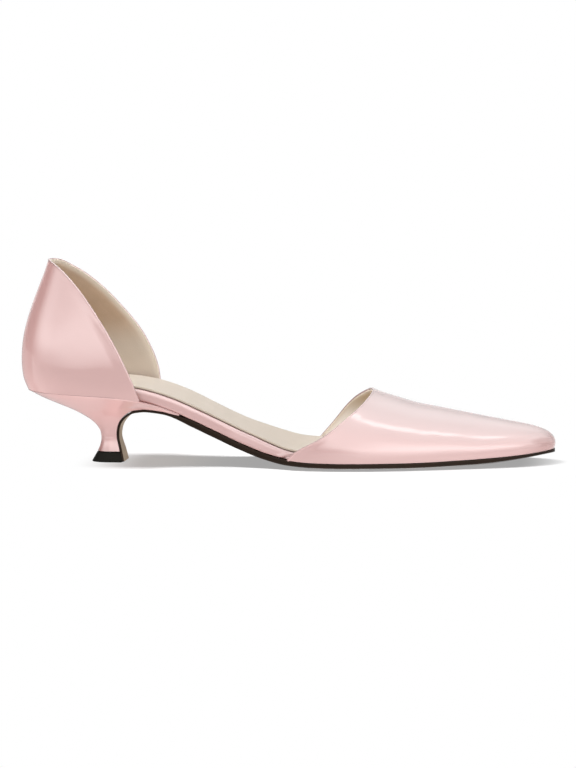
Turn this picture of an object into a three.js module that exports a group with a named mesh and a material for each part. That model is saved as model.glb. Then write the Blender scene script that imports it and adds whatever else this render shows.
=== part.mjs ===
// A kitten heel pump for the right foot, cut open at both sides. A vamp covers the toes and a tall pointed
// counter stands round the heel, both lasted on one wrapped insole with a sock on top. The leather outsole
// runs from the toe up the shank and on down the front of a waisted, flared heel, which ends in a top piece.
// Millimetres, +X to the toe, +Y to the inner side of the foot, +Z up, the floor at Z 0.
import * as THREE from "three";
import { mergeVertices } from "three/addons/utils/BufferGeometryUtils.js";

// Overall sizes
const LENGTH = 264.2; // back bulge of the counter to the toe tip
const BALL_PLACE = 0.58; // where the foot bends, as a share of the length
const BALL_WIDTH = 72; // across the joints, at the feather edge
const SEAT_WIDTH = 50; // across the heel seat, at the feather edge
const WAIST_WIDTH = 44; // across the arch, at the feather edge
const SEAT_HEIGHT = 36.3; // floor to the feather edge at the back
const TOE_SWING = 5; // how far the toe turns to the inner side of the foot
const TOE_SPRING = 3.2; // rise of the feather edge from the ball to the toe
const CLEARANCE = 0.3; // between two pieces that meet

// Upper
const WALL = 1.6; // leather and lining together
const COUNTER_HEIGHT = 64.2; // feather edge to the peak at the back
const BACK_BULGE = 3.1; // how far the counter swells behind the feather edge
const PEAK_LEAN = 11.1; // how far the peak lies in front of the feather edge
const COUNTER_END = 62.6; // back bulge to the counter's front corner, outer side
const COUNTER_END_INNER = 65.4; // the same on the inner side, which reaches further
const THROAT_RISE = 32.8; // feather edge to the top of the vamp at the throat
const TOE_RISE = 14.2; // feather edge to the top of the toe box
const TOE_FALL = 18; // length of the rounded front of the toe box
const TOE_TURN = 50; // length over which the sections fan round the toe
const VAMP_SWELL = 1.6; // how far the vamp's side stands out over the feather edge
const SWELL_PEAK = 0.65; // greatest value of the swell's shape, which the swell is measured against
const RIDGE_SHIFT = 3; // how far the instep ridge lies to the inner side
const STILL = COUNTER_END_INNER + PEAK_LEAN; // where the counter's leaning sections no longer move
const FOOT_LEVEL = 0.02; // how near the feather edge a point still belongs to it

// Sole
const OUTSOLE_THICKNESS = 3.6;
const FLAP_THICKNESS = 1.1; // where the outsole runs down the heel breast
const EDGE_LIFT = 1.1; // how far the outsole's underside rises to its edge
const WAIST_THICKNESS = 2.2; // of the outsole under the arch
const TOE_THICKNESS = 1.6; // of the outsole at the very toe
const TOE_TAPER = 38; // length over which it thins to that
const SOLE_MARGIN = 0.3; // how far the outsole stands out round the vamp
const INSOLE_THICKNESS = 5.6; // wrapped board with its shank, at the arch
const FOREPART_INSOLE = 3.8; // the same board under the toes
const INSOLE_ROLL = 1.4; // radius of the wrapped upper edge
const INSOLE_INSET = WALL + 2 * CLEARANCE; // from the feather edge to the wrapped edge
const INSOLE_RELEASE = 20; // length over which it lets go of the counter's wall
const SOCK_THICKNESS = 1;
const SOCK_MARGIN = 1; // from the wrapped edge to the sock's edge
const BOARD_THINS = { from: 0.43, to: 0.53 }; // where the insole gets thinner, as shares of the length
const SOLE_WIDENS = { from: 0.46, to: 0.56 }; // where the outsole comes out from under the insole

// Heel
const NECK_X = 43.65; // back bulge to the middle of the neck
const NECK_LENGTH = 8.7; // fore and aft
const NECK_WIDTH = 8.4;
const NECK_HEIGHT = 12.2; // above the floor
const LIP_END = 82; // back bulge to the thin front end of the heel's seat
const LIP_BLEND = 7; // to each side of the lip's end, where the outsole thins to its flap
const LIP_LEAD = 5; // from the lip's end to where the outsole starts to follow the breast
const SEAT_TUCK = 12; // length over which the heel's seat draws in to the insole's edge
const TONGUE_ROUND = 0.62; // share of the neck's length that its round back takes
const TOP_PIECE_HEIGHT = 5.1;
const TOP_PIECE_BACK = 34.3; // back bulge to the back of the top piece on the floor
const TOP_PIECE_LENGTH = 17.5; // on the floor
const TOP_PIECE_WIDTH = 14;
const BACK_FLARE = 3; // how far the top piece's back slopes out from its top to the floor
const SIDE_FLARE = 1.1; // the same at each side and at the front

// Numbers of facets
const VAMP_ROWS = 24;
const VAMP_COLUMNS = 32;
const COUNTER_COLUMNS = 44;
const COUNTER_ROWS = 12;
const SOLE_STATIONS = 56;
const FLAP_STATIONS = 22;
const HEEL_SIDE = 12;
const HEEL_RINGS = 16;
const FLARE_RINGS = 4;
const EDGE_SAMPLES = 400;
const EDGE_PASSES = 12;

// Half widths of the feather edge, as shares of the width named in the row, at shares of its length.
const FEATHER_WIDTHS = [
  { along: 0, of: SEAT_WIDTH, lateral: 0, medial: 0 },
  { along: 0.026, of: SEAT_WIDTH, lateral: 0.31, medial: 0.31 },
  { along: 0.065, of: SEAT_WIDTH, lateral: 0.426, medial: 0.424 },
  { along: 0.122, of: SEAT_WIDTH, lateral: 0.49, medial: 0.485 },
  { along: 0.18, of: SEAT_WIDTH, lateral: 0.51, medial: 0.5 },
  { along: 0.237, of: SEAT_WIDTH, lateral: 0.506, medial: 0.49 },
  { along: 0.313, of: WAIST_WIDTH, lateral: 0.53, medial: 0.515 },
  { along: 0.39, of: WAIST_WIDTH, lateral: 0.53, medial: 0.48 },
  { along: 0.455, of: BALL_WIDTH, lateral: 0.385, medial: 0.36 },
  { along: 0.523, of: BALL_WIDTH, lateral: 0.462, medial: 0.455 },
  { along: 0.6, of: BALL_WIDTH, lateral: 0.498, medial: 0.505 },
  { along: 0.67, of: BALL_WIDTH, lateral: 0.487, medial: 0.512 },
  { along: 0.753, of: BALL_WIDTH, lateral: 0.432, medial: 0.457 },
  { along: 0.83, of: BALL_WIDTH, lateral: 0.363, medial: 0.377 },
  { along: 0.906, of: BALL_WIDTH, lateral: 0.287, medial: 0.285 },
  { along: 0.952, of: BALL_WIDTH, lateral: 0.215, medial: 0.208 },
  { along: 0.982, of: BALL_WIDTH, lateral: 0.13, medial: 0.126 },
  { along: 1, of: BALL_WIDTH, lateral: 0, medial: 0 },
];

// Height of the feather edge: rise is a share of the seat's height over the ball, spring of the toe spring.
const FEATHER_HEIGHTS = [
  { along: 0, rise: 1, spring: 0 },
  { along: 0.09, rise: 0.972, spring: 0 },
  { along: 0.18, rise: 0.933, spring: 0 },
  { along: 0.222, rise: 0.891, spring: 0 },
  { along: 0.256, rise: 0.82, spring: 0 },
  { along: 0.286, rise: 0.733, spring: 0 },
  { along: 0.326, rise: 0.588, spring: 0 },
  { along: 0.37, rise: 0.42, spring: 0 },
  { along: 0.418, rise: 0.25, spring: 0 },
  { along: 0.469, rise: 0.11, spring: 0 },
  { along: 0.514, rise: 0.034, spring: 0 },
  { along: 0.562, rise: 0.006, spring: 0 },
  { along: 0.62, rise: 0, spring: 0 },
  { along: 0.73, rise: 0, spring: 0 },
  { along: 0.764, rise: 0, spring: 0.03 },
  { along: 0.833, rise: 0, spring: 0.2 },
  { along: 0.902, rise: 0, spring: 0.45 },
  { along: 0.953, rise: 0, spring: 0.7 },
  { along: 1, rise: 0, spring: 1 },
];

// Top of the vamp: 0 is the toe box's rise, 1 the throat's; shift is a share of the ridge's sideways shift.
const RIDGE_LINE = [
  { along: 0.48, rise: 1.74, shift: 1.3 },
  { along: 0.56, rise: 1.45, shift: 1.2 },
  { along: 0.6, rise: 1.26, shift: 1.1 },
  { along: 0.653, rise: 1, shift: 1 },
  { along: 0.68, rise: 0.875, shift: 0.9 },
  { along: 0.715, rise: 0.735, shift: 0.75 },
  { along: 0.741, rise: 0.64, shift: 0.65 },
  { along: 0.772, rise: 0.54, shift: 0.5 },
  { along: 0.81, rise: 0.415, shift: 0.35 },
  { along: 0.86, rise: 0.255, shift: 0.2 },
  { along: 0.898, rise: 0.13, shift: 0.1 },
  { along: 0.935, rise: 0, shift: 0 },
];

// Where the throat crosses the vamp's sections, from the outer feather edge over the ridge to the inner one.
const THROAT = [
  { around: 0, along: 0.512 },
  { around: 0.035, along: 0.532 },
  { around: 0.08, along: 0.567 },
  { around: 0.165, along: 0.61 },
  { around: 0.25, along: 0.637 },
  { around: 0.34, along: 0.654 },
  { around: 0.43, along: 0.661 },
  { around: 0.5, along: 0.66 },
  { around: 0.58, along: 0.652 },
  { around: 0.67, along: 0.634 },
  { around: 0.75, along: 0.611 },
  { around: 0.835, along: 0.586 },
  { around: 0.92, along: 0.561 },
  { around: 0.965, along: 0.547 },
  { around: 1, along: 0.534 },
];

// The counter's level sections: height, bulge and lean are shares of its height, back bulge and peak lean.
const COUNTER_SECTIONS = [
  { height: 0, bulge: 0, lean: 0, width: 1 },
  { height: 0.06, bulge: 0.56, lean: 0, width: 1.03 },
  { height: 0.13, bulge: 0.85, lean: 0, width: 1.05 },
  { height: 0.215, bulge: 0.98, lean: 0, width: 1.06 },
  { height: 0.3, bulge: 1, lean: 0.02, width: 1.05 },
  { height: 0.42, bulge: 0.88, lean: 0.08, width: 1.01 },
  { height: 0.535, bulge: 0.62, lean: 0.175, width: 0.955 },
  { height: 0.68, bulge: 0.3, lean: 0.375, width: 0.86 },
  { height: 0.82, bulge: 0.1, lean: 0.64, width: 0.755 },
  { height: 0.935, bulge: 0.02, lean: 0.88, width: 0.66 },
  { height: 1, bulge: 0, lean: 1, width: 0.6 },
];

// The counter's edge seen from the side: reach runs from the peak to the front corner, rise back up.
const COUNTER_EDGE = [
  { reach: 0, outer: 1, inner: 1 },
  { reach: 0.07, outer: 0.976, inner: 0.99 },
  { reach: 0.17, outer: 0.932, inner: 0.948 },
  { reach: 0.27, outer: 0.869, inner: 0.899 },
  { reach: 0.38, outer: 0.788, inner: 0.831 },
  { reach: 0.5, outer: 0.681, inner: 0.744 },
  { reach: 0.62, outer: 0.56, inner: 0.641 },
  { reach: 0.72, outer: 0.447, inner: 0.549 },
  { reach: 0.81, outer: 0.332, inner: 0.455 },
  { reach: 0.88, outer: 0.229, inner: 0.358 },
  { reach: 0.94, outer: 0.13, inner: 0.253 },
  { reach: 0.975, outer: 0.056, inner: 0.158 },
  { reach: 1, outer: 0, inner: 0 },
];

// The heel breast: forward is a share of the way from the neck to the lip's end, height of the feather edge
// above it, width of the waist's half width.
const BREAST = [
  { forward: 1, height: 0.968, width: 0.97 },
  { forward: 0.87, height: 0.935, width: 0.95 },
  { forward: 0.75, height: 0.912, width: 0.915 },
  { forward: 0.62, height: 0.885, width: 0.86 },
  { forward: 0.48, height: 0.853, width: 0.77 },
  { forward: 0.365, height: 0.817, width: 0.665 },
  { forward: 0.26, height: 0.777, width: 0.545 },
  { forward: 0.165, height: 0.715, width: 0.42 },
  { forward: 0.085, height: 0.64, width: 0.32 },
  { forward: 0.03, height: 0.553, width: 0.245 },
  { forward: 0.004, height: 0.457, width: 0.205 },
];

// The heel's sections, by front, their share of the way down the breast line to the neck: back is a share of
// the way from the feather edge to the neck's back, down of the way from the seat to the neck, width of the
// seat's width, and seat is how much of the seat's outline and curve a section keeps.
const HEEL_SECTIONS = [
  { front: 0, back: 0.03, down: 0.022, width: 0.985, seat: 0.97 },
  { front: 0.1, back: 0.17, down: 0.14, width: 0.9, seat: 0.84 },
  { front: 0.2, back: 0.385, down: 0.285, width: 0.765, seat: 0.62 },
  { front: 0.32, back: 0.61, down: 0.43, width: 0.605, seat: 0.38 },
  { front: 0.43, back: 0.755, down: 0.545, width: 0.475, seat: 0.2 },
  { front: 0.55, back: 0.875, down: 0.665, width: 0.36, seat: 0.08 },
  { front: 0.68, back: 0.95, down: 0.78, width: 0.275, seat: 0.02 },
  { front: 0.83, back: 0.99, down: 0.895, width: 0.215, seat: 0 },
  { front: 1, back: 1, down: 1, width: 0.19, seat: 0 },
];

// Half sections of the boards from the bottom up: inward in the insole's roll or the sock's thickness, up in
// the board's own thickness.
const INSOLE_SECTION = [
  { inward: 0.36, up: 0 },
  { inward: 0, up: 0.3 },
  { inward: 0, up: 0.6 },
  { inward: 0.3, up: 0.88 },
  { inward: 1, up: 1 },
  { inward: 5, up: 1 },
];
const SOCK_SECTION = [
  { inward: 0, up: 0 },
  { inward: 0, up: 0.6 },
  { inward: 0.4, up: 1 },
  { inward: 8, up: 1 },
];

// Half section of the outsole from the top down: out is a share of its half width, down of its thickness, and
// lifted is how much of the rise to the edge a point takes part in.
const OUTSOLE_SECTION = [
  { out: 1, down: 0, lifted: 0 },
  { out: 1, down: 0.55, lifted: 1 },
  { out: 0.985, down: 0.9, lifted: 1 },
  { out: 0.95, down: 1, lifted: 1 },
  { out: 0.83, down: 1, lifted: 0.35 },
  { out: 0.6, down: 1, lifted: 0 },
];

/** Second derivatives of the natural cubic spline through (x, y) pairs. */
function bends(x, y) {
  const last = x.length - 1;
  const bend = new Array(last + 1).fill(0);
  const carry = new Array(last + 1).fill(0);
  for (let i = 1; i < last; i++) {
    const share = (x[i] - x[i - 1]) / (x[i + 1] - x[i - 1]);
    const pivot = share * bend[i - 1] + 2;
    const turn = (y[i + 1] - y[i]) / (x[i + 1] - x[i]) - (y[i] - y[i - 1]) / (x[i] - x[i - 1]);
    bend[i] = (share - 1) / pivot;
    carry[i] = ((6 * turn) / (x[i + 1] - x[i - 1]) - share * carry[i - 1]) / pivot;
  }
  bend[last] = 0;
  for (let i = last - 1; i >= 0; i--) bend[i] = bend[i] * bend[i + 1] + carry[i];
  return bend;
}

/** The smooth function through a table's rows, from one column to another. */
function through(rows, from, to) {
  const x = rows.map((row) => row[from]);
  const y = rows.map((row) => row[to]);
  const bend = bends(x, y);
  return (at) => {
    let i = 0;
    while (i < x.length - 2 && at > x[i + 1]) i++;
    const span = x[i + 1] - x[i];
    const b = Math.min(Math.max((at - x[i]) / span, 0), 1);
    const a = 1 - b;
    const curve = ((a ** 3 - a) * bend[i] + (b ** 3 - b) * bend[i + 1]) * span * span;
    return a * y[i] + b * y[i + 1] + curve / 6;
  };
}

/** The same, but never past its rows: level where two rows are level. */
function steady(rows, from, to) {
  const x = rows.map((row) => row[from]);
  const y = rows.map((row) => row[to]);
  const slope = x.slice(1).map((value, i) => (y[i + 1] - y[i]) / (value - x[i]));
  const lean = x.map((_, i) => {
    const before = slope[Math.max(i - 1, 0)];
    const after = slope[Math.min(i, slope.length - 1)];
    return before * after > 0 ? (2 * before * after) / (before + after) : 0;
  });
  return (at) => {
    let i = 0;
    while (i < x.length - 2 && at > x[i + 1]) i++;
    const span = x[i + 1] - x[i];
    const t = Math.min(Math.max((at - x[i]) / span, 0), 1);
    const ends = y[i] * (2 * t ** 3 - 3 * t ** 2 + 1) + y[i + 1] * (3 * t ** 2 - 2 * t ** 3);
    return ends + span * (lean[i] * (t ** 3 - 2 * t ** 2 + t) + lean[i + 1] * (t ** 3 - t ** 2));
  };
}

const mix = THREE.MathUtils.lerp;
const ease = THREE.MathUtils.smoothstep;
const LATERAL = -1;
const MEDIAL = 1;

// The feather edge is followed by a station from 0 at the back to 1 at the toe, even in angle, so that
// both ends come out round.
const FEATHER_LENGTH = LENGTH - BACK_BULGE;
const alongAt = (station) => (1 - Math.cos(Math.PI * station)) / 2;
const stationAt = (along) => Math.acos(1 - 2 * Math.min(Math.max(along, 0), 1)) / Math.PI;
const xAt = (along) => BACK_BULGE + FEATHER_LENGTH * along;
const alongOf = (x) => (x - BACK_BULGE) / FEATHER_LENGTH;

const widthRows = FEATHER_WIDTHS.map((row) => ({
  station: stationAt(row.along),
  lateral: row.lateral * row.of,
  medial: row.medial * row.of,
}));
const halfWidth = {
  [LATERAL]: through(widthRows, "station", "lateral"),
  [MEDIAL]: through(widthRows, "station", "medial"),
};

const risePart = steady(FEATHER_HEIGHTS, "along", "rise");
const springPart = steady(FEATHER_HEIGHTS, "along", "spring");

/** Height of the feather edge, which is the top of the outsole and of the heel's seat. */
function featherHeight(x) {
  const along = alongOf(x);
  const rise = (SEAT_HEIGHT - OUTSOLE_THICKNESS) * risePart(along);
  return OUTSOLE_THICKNESS + rise + TOE_SPRING * springPart(along);
}

/** A point of the feather edge in plan, moved in by inset. */
function edgePoint(station, side, inset = 0) {
  const step = 1e-4;
  const s = Math.min(Math.max(station, step), 1 - step);
  const run = xAt(alongAt(s + step)) - xAt(alongAt(s - step));
  const spread = halfWidth[side](s + step) - halfWidth[side](s - step);
  const out = new THREE.Vector2(-spread, side * run).normalize();
  const onEnd = station <= 0 || station >= 1;
  if (onEnd) out.set(station <= 0 ? -1 : 1, 0);
  const x = xAt(alongAt(station)) - out.x * inset;
  const y = side * halfWidth[side](station) - out.y * inset;
  return new THREE.Vector2(x, onEnd ? 0 : y);
}

/** A point over the feather edge's height line, moved off it square to its slope. */
function overFeather(x, offset) {
  const step = 0.5;
  const slope = (featherHeight(x + step) - featherHeight(x - step)) / (2 * step);
  const run = Math.hypot(1, slope);
  return { x: x - (offset * slope) / run, z: featherHeight(x) + offset / run };
}

/** How far the shoe's middle line has turned to the inner side at a length. */
function swing(x) {
  const ball = BALL_PLACE * LENGTH;
  return TOE_SWING * Math.max(0, (x - ball) / (LENGTH - ball)) ** 2;
}

/** A geometry from points and triangles, with what coincides merged and what collapsed dropped. */
function surface(points, triangles) {
  const flat = points.flatMap((p) => [p.x, p.y, p.z]);
  const raw = new THREE.BufferGeometry();
  raw.setAttribute("position", new THREE.Float32BufferAttribute(flat, 3));
  raw.setIndex(triangles.flat());
  const merged = mergeVertices(raw, 1e-3);
  const index = merged.index.array;
  const kept = [];
  for (let i = 0; i < index.length; i += 3) {
    const [a, b, c] = [index[i], index[i + 1], index[i + 2]];
    if (a !== b && b !== c && a !== c) kept.push(a, b, c);
  }
  merged.setIndex(kept);
  merged.computeVertexNormals();
  return merged;
}

/** A solid, turned inwards at the toe. What is wound inwards has a volume below zero and is wound anew. */
function solid(points, triangles) {
  const volume = triangles.reduce((sum, [a, b, c]) => {
    return sum + points[a].dot(points[b].clone().cross(points[c]));
  }, 0);
  const turned = points.map((p) => new THREE.Vector3(p.x, p.y + swing(p.x), p.z));
  return surface(turned, volume < 0 ? triangles.map(([a, b, c]) => [a, c, b]) : triangles);
}

/** A solid through rings of as many points each. Each ring's last point lies across from its first. */
function loft(rings) {
  const count = rings[0].length;
  const triangles = [];
  for (let r = 0; r + 1 < rings.length; r++) {
    for (let i = 0; i < count; i++) {
      const a = r * count + i;
      const b = r * count + ((i + 1) % count);
      triangles.push([a, b, b + count], [a, b + count, a + count]);
    }
  }
  const last = (rings.length - 1) * count;
  for (let i = 0; i + 1 < count / 2; i++) {
    const [near, far] = [i, count - 1 - i];
    triangles.push([near, far, far - 1], [near, far - 1, near + 1]);
    const [a, b] = [last + near, last + far];
    triangles.push([a, b - 1, b], [a, a + 1, b - 1]);
  }
  return solid(rings.flat(), triangles);
}

/** A shell of even wall under an outer surface. Points on the feather edge keep their height inside too. */
function shell(points, triangles) {
  const outer = surface(points, triangles);
  const position = outer.getAttribute("position");
  const normal = outer.getAttribute("normal");
  const vertices = [];
  const inner = [];
  for (let i = 0; i < position.count; i++) {
    const point = new THREE.Vector3().fromBufferAttribute(position, i);
    const out = new THREE.Vector3().fromBufferAttribute(normal, i);
    if (point.z < featherHeight(point.x) + CLEARANCE + FOOT_LEVEL) out.setZ(0).normalize();
    vertices.push(point);
    inner.push(point.clone().addScaledVector(out, -WALL));
  }
  const count = vertices.length;
  const faces = [];
  const index = outer.index.array;
  const edges = new Map();
  for (let i = 0; i < index.length; i += 3) {
    const corners = [index[i], index[i + 1], index[i + 2]];
    faces.push(corners, corners.map((c) => c + count).reverse());
    corners.forEach((a, k) => {
      const b = corners[(k + 1) % 3];
      const twin = `${b}-${a}`;
      if (edges.has(twin)) edges.delete(twin);
      else edges.set(`${a}-${b}`, [a, b]);
    });
  }
  for (const [a, b] of edges.values()) faces.push([b, a, a + count], [b, a + count, b + count]);
  return solid([...vertices, ...inner], faces);
}

/** Triangles of a grid of points, numbered row by row, cut along each cell's shorter diagonal. */
function gridTriangles(points, rows, columns) {
  const triangles = [];
  for (let r = 0; r < rows; r++) {
    for (let c = 0; c < columns; c++) {
      const a = r * (columns + 1) + c;
      const b = a + columns + 1;
      const falling = points[a].distanceTo(points[b + 1]) < points[a + 1].distanceTo(points[b]);
      if (falling) triangles.push([a, b, b + 1], [a, b + 1, a + 1]);
      else triangles.push([a, b, a + 1], [b, b + 1, a + 1]);
    }
  }
  return triangles;
}

const ridgeRise = through(RIDGE_LINE, "along", "rise");
const ridgeShift = through(RIDGE_LINE, "along", "shift");

/** The top of the vamp's section at a station. Round the toe the sections fan out from the toe box's top. */
function ridgePoint(station) {
  const footX = xAt(alongAt(station));
  const turned = Math.max(0, (footX - (LENGTH - TOE_TURN)) / TOE_TURN);
  const x = footX - TOE_FALL * turned * turned;
  const there = stationAt(alongOf(x));
  const middle = (halfWidth[MEDIAL](there) - halfWidth[LATERAL](there)) / 2;
  const rise = mix(TOE_RISE, THROAT_RISE, ridgeRise(alongOf(x)));
  return new THREE.Vector3(x, middle + RIDGE_SHIFT * ridgeShift(alongOf(x)), featherHeight(x) + rise);
}

/** A point of the vamp: around runs from 0 at the outer feather edge over the ridge to 1 at the inner one. */
function vampPoint(station, around) {
  const side = around < 0.5 ? LATERAL : MEDIAL;
  const turn = Math.min(around, 1 - around) * Math.PI;
  const foot = edgePoint(station, side);
  const out = foot.clone().sub(edgePoint(station, side, 1));
  const ridge = ridgePoint(station);
  const inward = 1 - Math.cos(turn);
  const swell = (VAMP_SWELL * Math.sin(2 * turn) * Math.cos(turn) ** 2) / SWELL_PEAK;
  const footHeight = featherHeight(foot.x) + CLEARANCE;
  const before = ridgePoint(station - 0.01);
  const slope = (ridge.z - before.z) / (ridge.x - before.x);
  const settle = slope * (ridge.x - foot.x) * (1 - inward) * inward * inward;
  return new THREE.Vector3(
    mix(foot.x, ridge.x, inward) + out.x * swell,
    mix(foot.y, ridge.y, inward) + out.y * swell,
    mix(footHeight, ridge.z, Math.sin(turn)) - settle,
  );
}

function vamp() {
  const throat = through(THROAT, "around", "along");
  const points = [];
  for (let r = 0; r <= VAMP_ROWS; r++) {
    for (let c = 0; c <= VAMP_COLUMNS; c++) {
      const around = c / VAMP_COLUMNS;
      const start = stationAt(throat(around));
      points.push(vampPoint(mix(start, 1, r / VAMP_ROWS), around));
    }
  }
  return shell(points, gridTriangles(points, VAMP_ROWS, VAMP_COLUMNS));
}

const counterBulge = through(COUNTER_SECTIONS, "height", "bulge");
const counterLean = through(COUNTER_SECTIONS, "height", "lean");
const counterWidth = through(COUNTER_SECTIONS, "height", "width");

/** Where the back of the counter lies at a share of its height. */
const counterBack = (share) => BACK_BULGE * (1 - counterBulge(share)) + PEAK_LEAN * counterLean(share);

/** The share of a feather edge point's distance from the counter's still front that a height leaves. */
function counterReach(share) {
  return (STILL - counterBack(share)) / (STILL - BACK_BULGE);
}

/** A point of the counter over a feather edge station, at a height above the feather edge. */
function counterPoint(station, side, height) {
  const foot = edgePoint(station, side);
  const share = height / COUNTER_HEIGHT;
  const x = STILL - (STILL - foot.x) * counterReach(share);
  return new THREE.Vector3(x, foot.y * counterWidth(share), featherHeight(foot.x) + CLEARANCE + height);
}

/** Stations and heights of the counter's edge on one side, evenly spaced from the peak to the corner. */
function counterEdge(side, count) {
  const inner = side === MEDIAL;
  const rise = steady(COUNTER_EDGE, "reach", inner ? "inner" : "outer");
  const end = inner ? COUNTER_END_INNER : COUNTER_END;
  const peak = BACK_BULGE + PEAK_LEAN;
  const top = featherHeight(BACK_BULGE) + COUNTER_HEIGHT;
  const samples = [];
  for (let i = 0; i <= EDGE_SAMPLES; i++) {
    const reach = (i / EDGE_SAMPLES) ** 2;
    const x = mix(peak, end, reach);
    const z = mix(featherHeight(end), top, rise(reach));
    let footX = x;
    for (let pass = 0; pass < EDGE_PASSES; pass++) {
      const share = (z - featherHeight(footX)) / COUNTER_HEIGHT;
      footX = STILL - (STILL - x) / counterReach(share);
    }
    const height = Math.max(0, z - featherHeight(footX));
    samples.push({ station: stationAt(alongOf(footX)), height });
  }
  samples[0].station = 0;
  samples[EDGE_SAMPLES].height = 0;
  const places = samples.map((s) => counterPoint(s.station, side, s.height));
  const walked = [0];
  places.slice(1).forEach((p, i) => walked.push(walked[i] + p.distanceTo(places[i])));
  return Array.from({ length: count + 1 }, (_, k) => {
    const goal = (walked[EDGE_SAMPLES] * k) / count;
    const i = walked.findIndex((w) => w >= goal);
    return samples[i < 0 ? EDGE_SAMPLES : i];
  });
}

function counter() {
  const half = COUNTER_COLUMNS / 2;
  const edges = { [LATERAL]: counterEdge(LATERAL, half), [MEDIAL]: counterEdge(MEDIAL, half) };
  const points = [];
  for (let r = 0; r <= COUNTER_ROWS; r++) {
    for (let c = 0; c <= COUNTER_COLUMNS; c++) {
      const side = c < half ? LATERAL : MEDIAL;
      const k = Math.abs(c - half);
      const edge = edges[side][k];
      const foot = (edges[side][half].station * k) / half;
      const up = r / COUNTER_ROWS;
      points.push(counterPoint(mix(foot, edge.station, up), side, edge.height * up));
    }
  }
  return shell(points, gridTriangles(points, COUNTER_ROWS, COUNTER_COLUMNS));
}

/** A point in plan on the upper's inner face at a height, or over the feather edge where the shoe is open. */
function innerEdge(station, side, height, inset) {
  const foot = edgePoint(station, side);
  const held = edgePoint(station, side, inset);
  const under = 1 - ease(foot.x, COUNTER_END - INSOLE_RELEASE, COUNTER_END);
  const wall = counterPoint(station, side, Math.max(0, height));
  return { x: held.x + (wall.x - foot.x) * under, y: held.y + (wall.y - foot.y) * under };
}

/** One ring of a board that lies in the upper, from low to high over the feather edge. */
function boardRing(station, inset, low, high, section, unit) {
  const side = (which) =>
    section.map((row) => {
      const above = mix(low, high, row.up);
      const edge = innerEdge(station, which, above, inset);
      const place = overFeather(edge.x, above);
      const reach = station <= 0 || station >= 1 ? 0 : Math.max(0, Math.abs(edge.y) - row.inward * unit);
      return new THREE.Vector3(place.x, which * reach, place.z);
    });
  return [...side(MEDIAL), ...side(LATERAL).reverse()];
}

/** Stations from the back to the toe, closer together round both ends. */
const boardStations = Array.from({ length: SOLE_STATIONS + 1 }, (_, i) => i / SOLE_STATIONS);

function insoleThickness(station) {
  const along = alongOf(xAt(alongAt(station)));
  return mix(INSOLE_THICKNESS, FOREPART_INSOLE, ease(along, BOARD_THINS.from, BOARD_THINS.to));
}

function insole() {
  const rings = boardStations.map((station) => {
    const high = CLEARANCE + insoleThickness(station);
    return boardRing(station, INSOLE_INSET, CLEARANCE, high, INSOLE_SECTION, INSOLE_ROLL);
  });
  return loft(rings);
}

function sock() {
  const rings = boardStations.map((station) => {
    const low = insoleThickness(station) + 2 * CLEARANCE;
    const high = low + SOCK_THICKNESS;
    return boardRing(station, INSOLE_INSET + SOCK_MARGIN, low, high, SOCK_SECTION, SOCK_THICKNESS);
  });
  return loft(rings);
}

const NECK_FRONT = NECK_X + NECK_LENGTH / 2;
const NECK_BACK = NECK_X - NECK_LENGTH / 2;
const TOP_PIECE_FRONT = TOP_PIECE_BACK + TOP_PIECE_LENGTH;
const HEEL_FOOT = TOP_PIECE_HEIGHT + CLEARANCE;

/** The line that the heel breast and the outsole's flap share, from the lip's end down to the top piece. */
const breast = new THREE.CatmullRomCurve3([
  ...BREAST.map((row) => {
    const x = mix(NECK_FRONT, LIP_END, row.forward);
    return new THREE.Vector3(x, (row.width * WAIST_WIDTH) / 2, featherHeight(x) * row.height);
  }),
  new THREE.Vector3(NECK_FRONT, NECK_WIDTH / 2, NECK_HEIGHT),
  new THREE.Vector3(
    TOP_PIECE_FRONT - SIDE_FLARE - FLAP_THICKNESS,
    TOP_PIECE_WIDTH / 2 - SIDE_FLARE,
    HEEL_FOOT,
  ),
]);
const NECK_SHARE = BREAST.length / (BREAST.length + 1);

/** A place on the breast line, moved off it: a positive offset goes into the heel. */
function breastAt(share, offset) {
  const p = breast.getPoint(share);
  const t = breast.getTangent(share);
  const run = Math.hypot(t.x, t.z);
  const z = p.z - (offset * t.x) / run;
  return { x: p.x + (offset * t.z) / run, z: Math.max(z, HEEL_FOOT), half: p.y };
}

/** One section across the outsole: a flat top, and an underside that rises to its edges by a share. */
function soleRing(top, bottom, outer, inner, lift) {
  const side = (edge) =>
    OUTSOLE_SECTION.map((row) => {
      const down = row.down * (1 - lift * row.lifted);
      return new THREE.Vector3(mix(top.x, bottom.x, down), edge * row.out, mix(top.z, bottom.z, down));
    });
  return [...side(outer), ...side(inner).reverse()];
}

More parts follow.
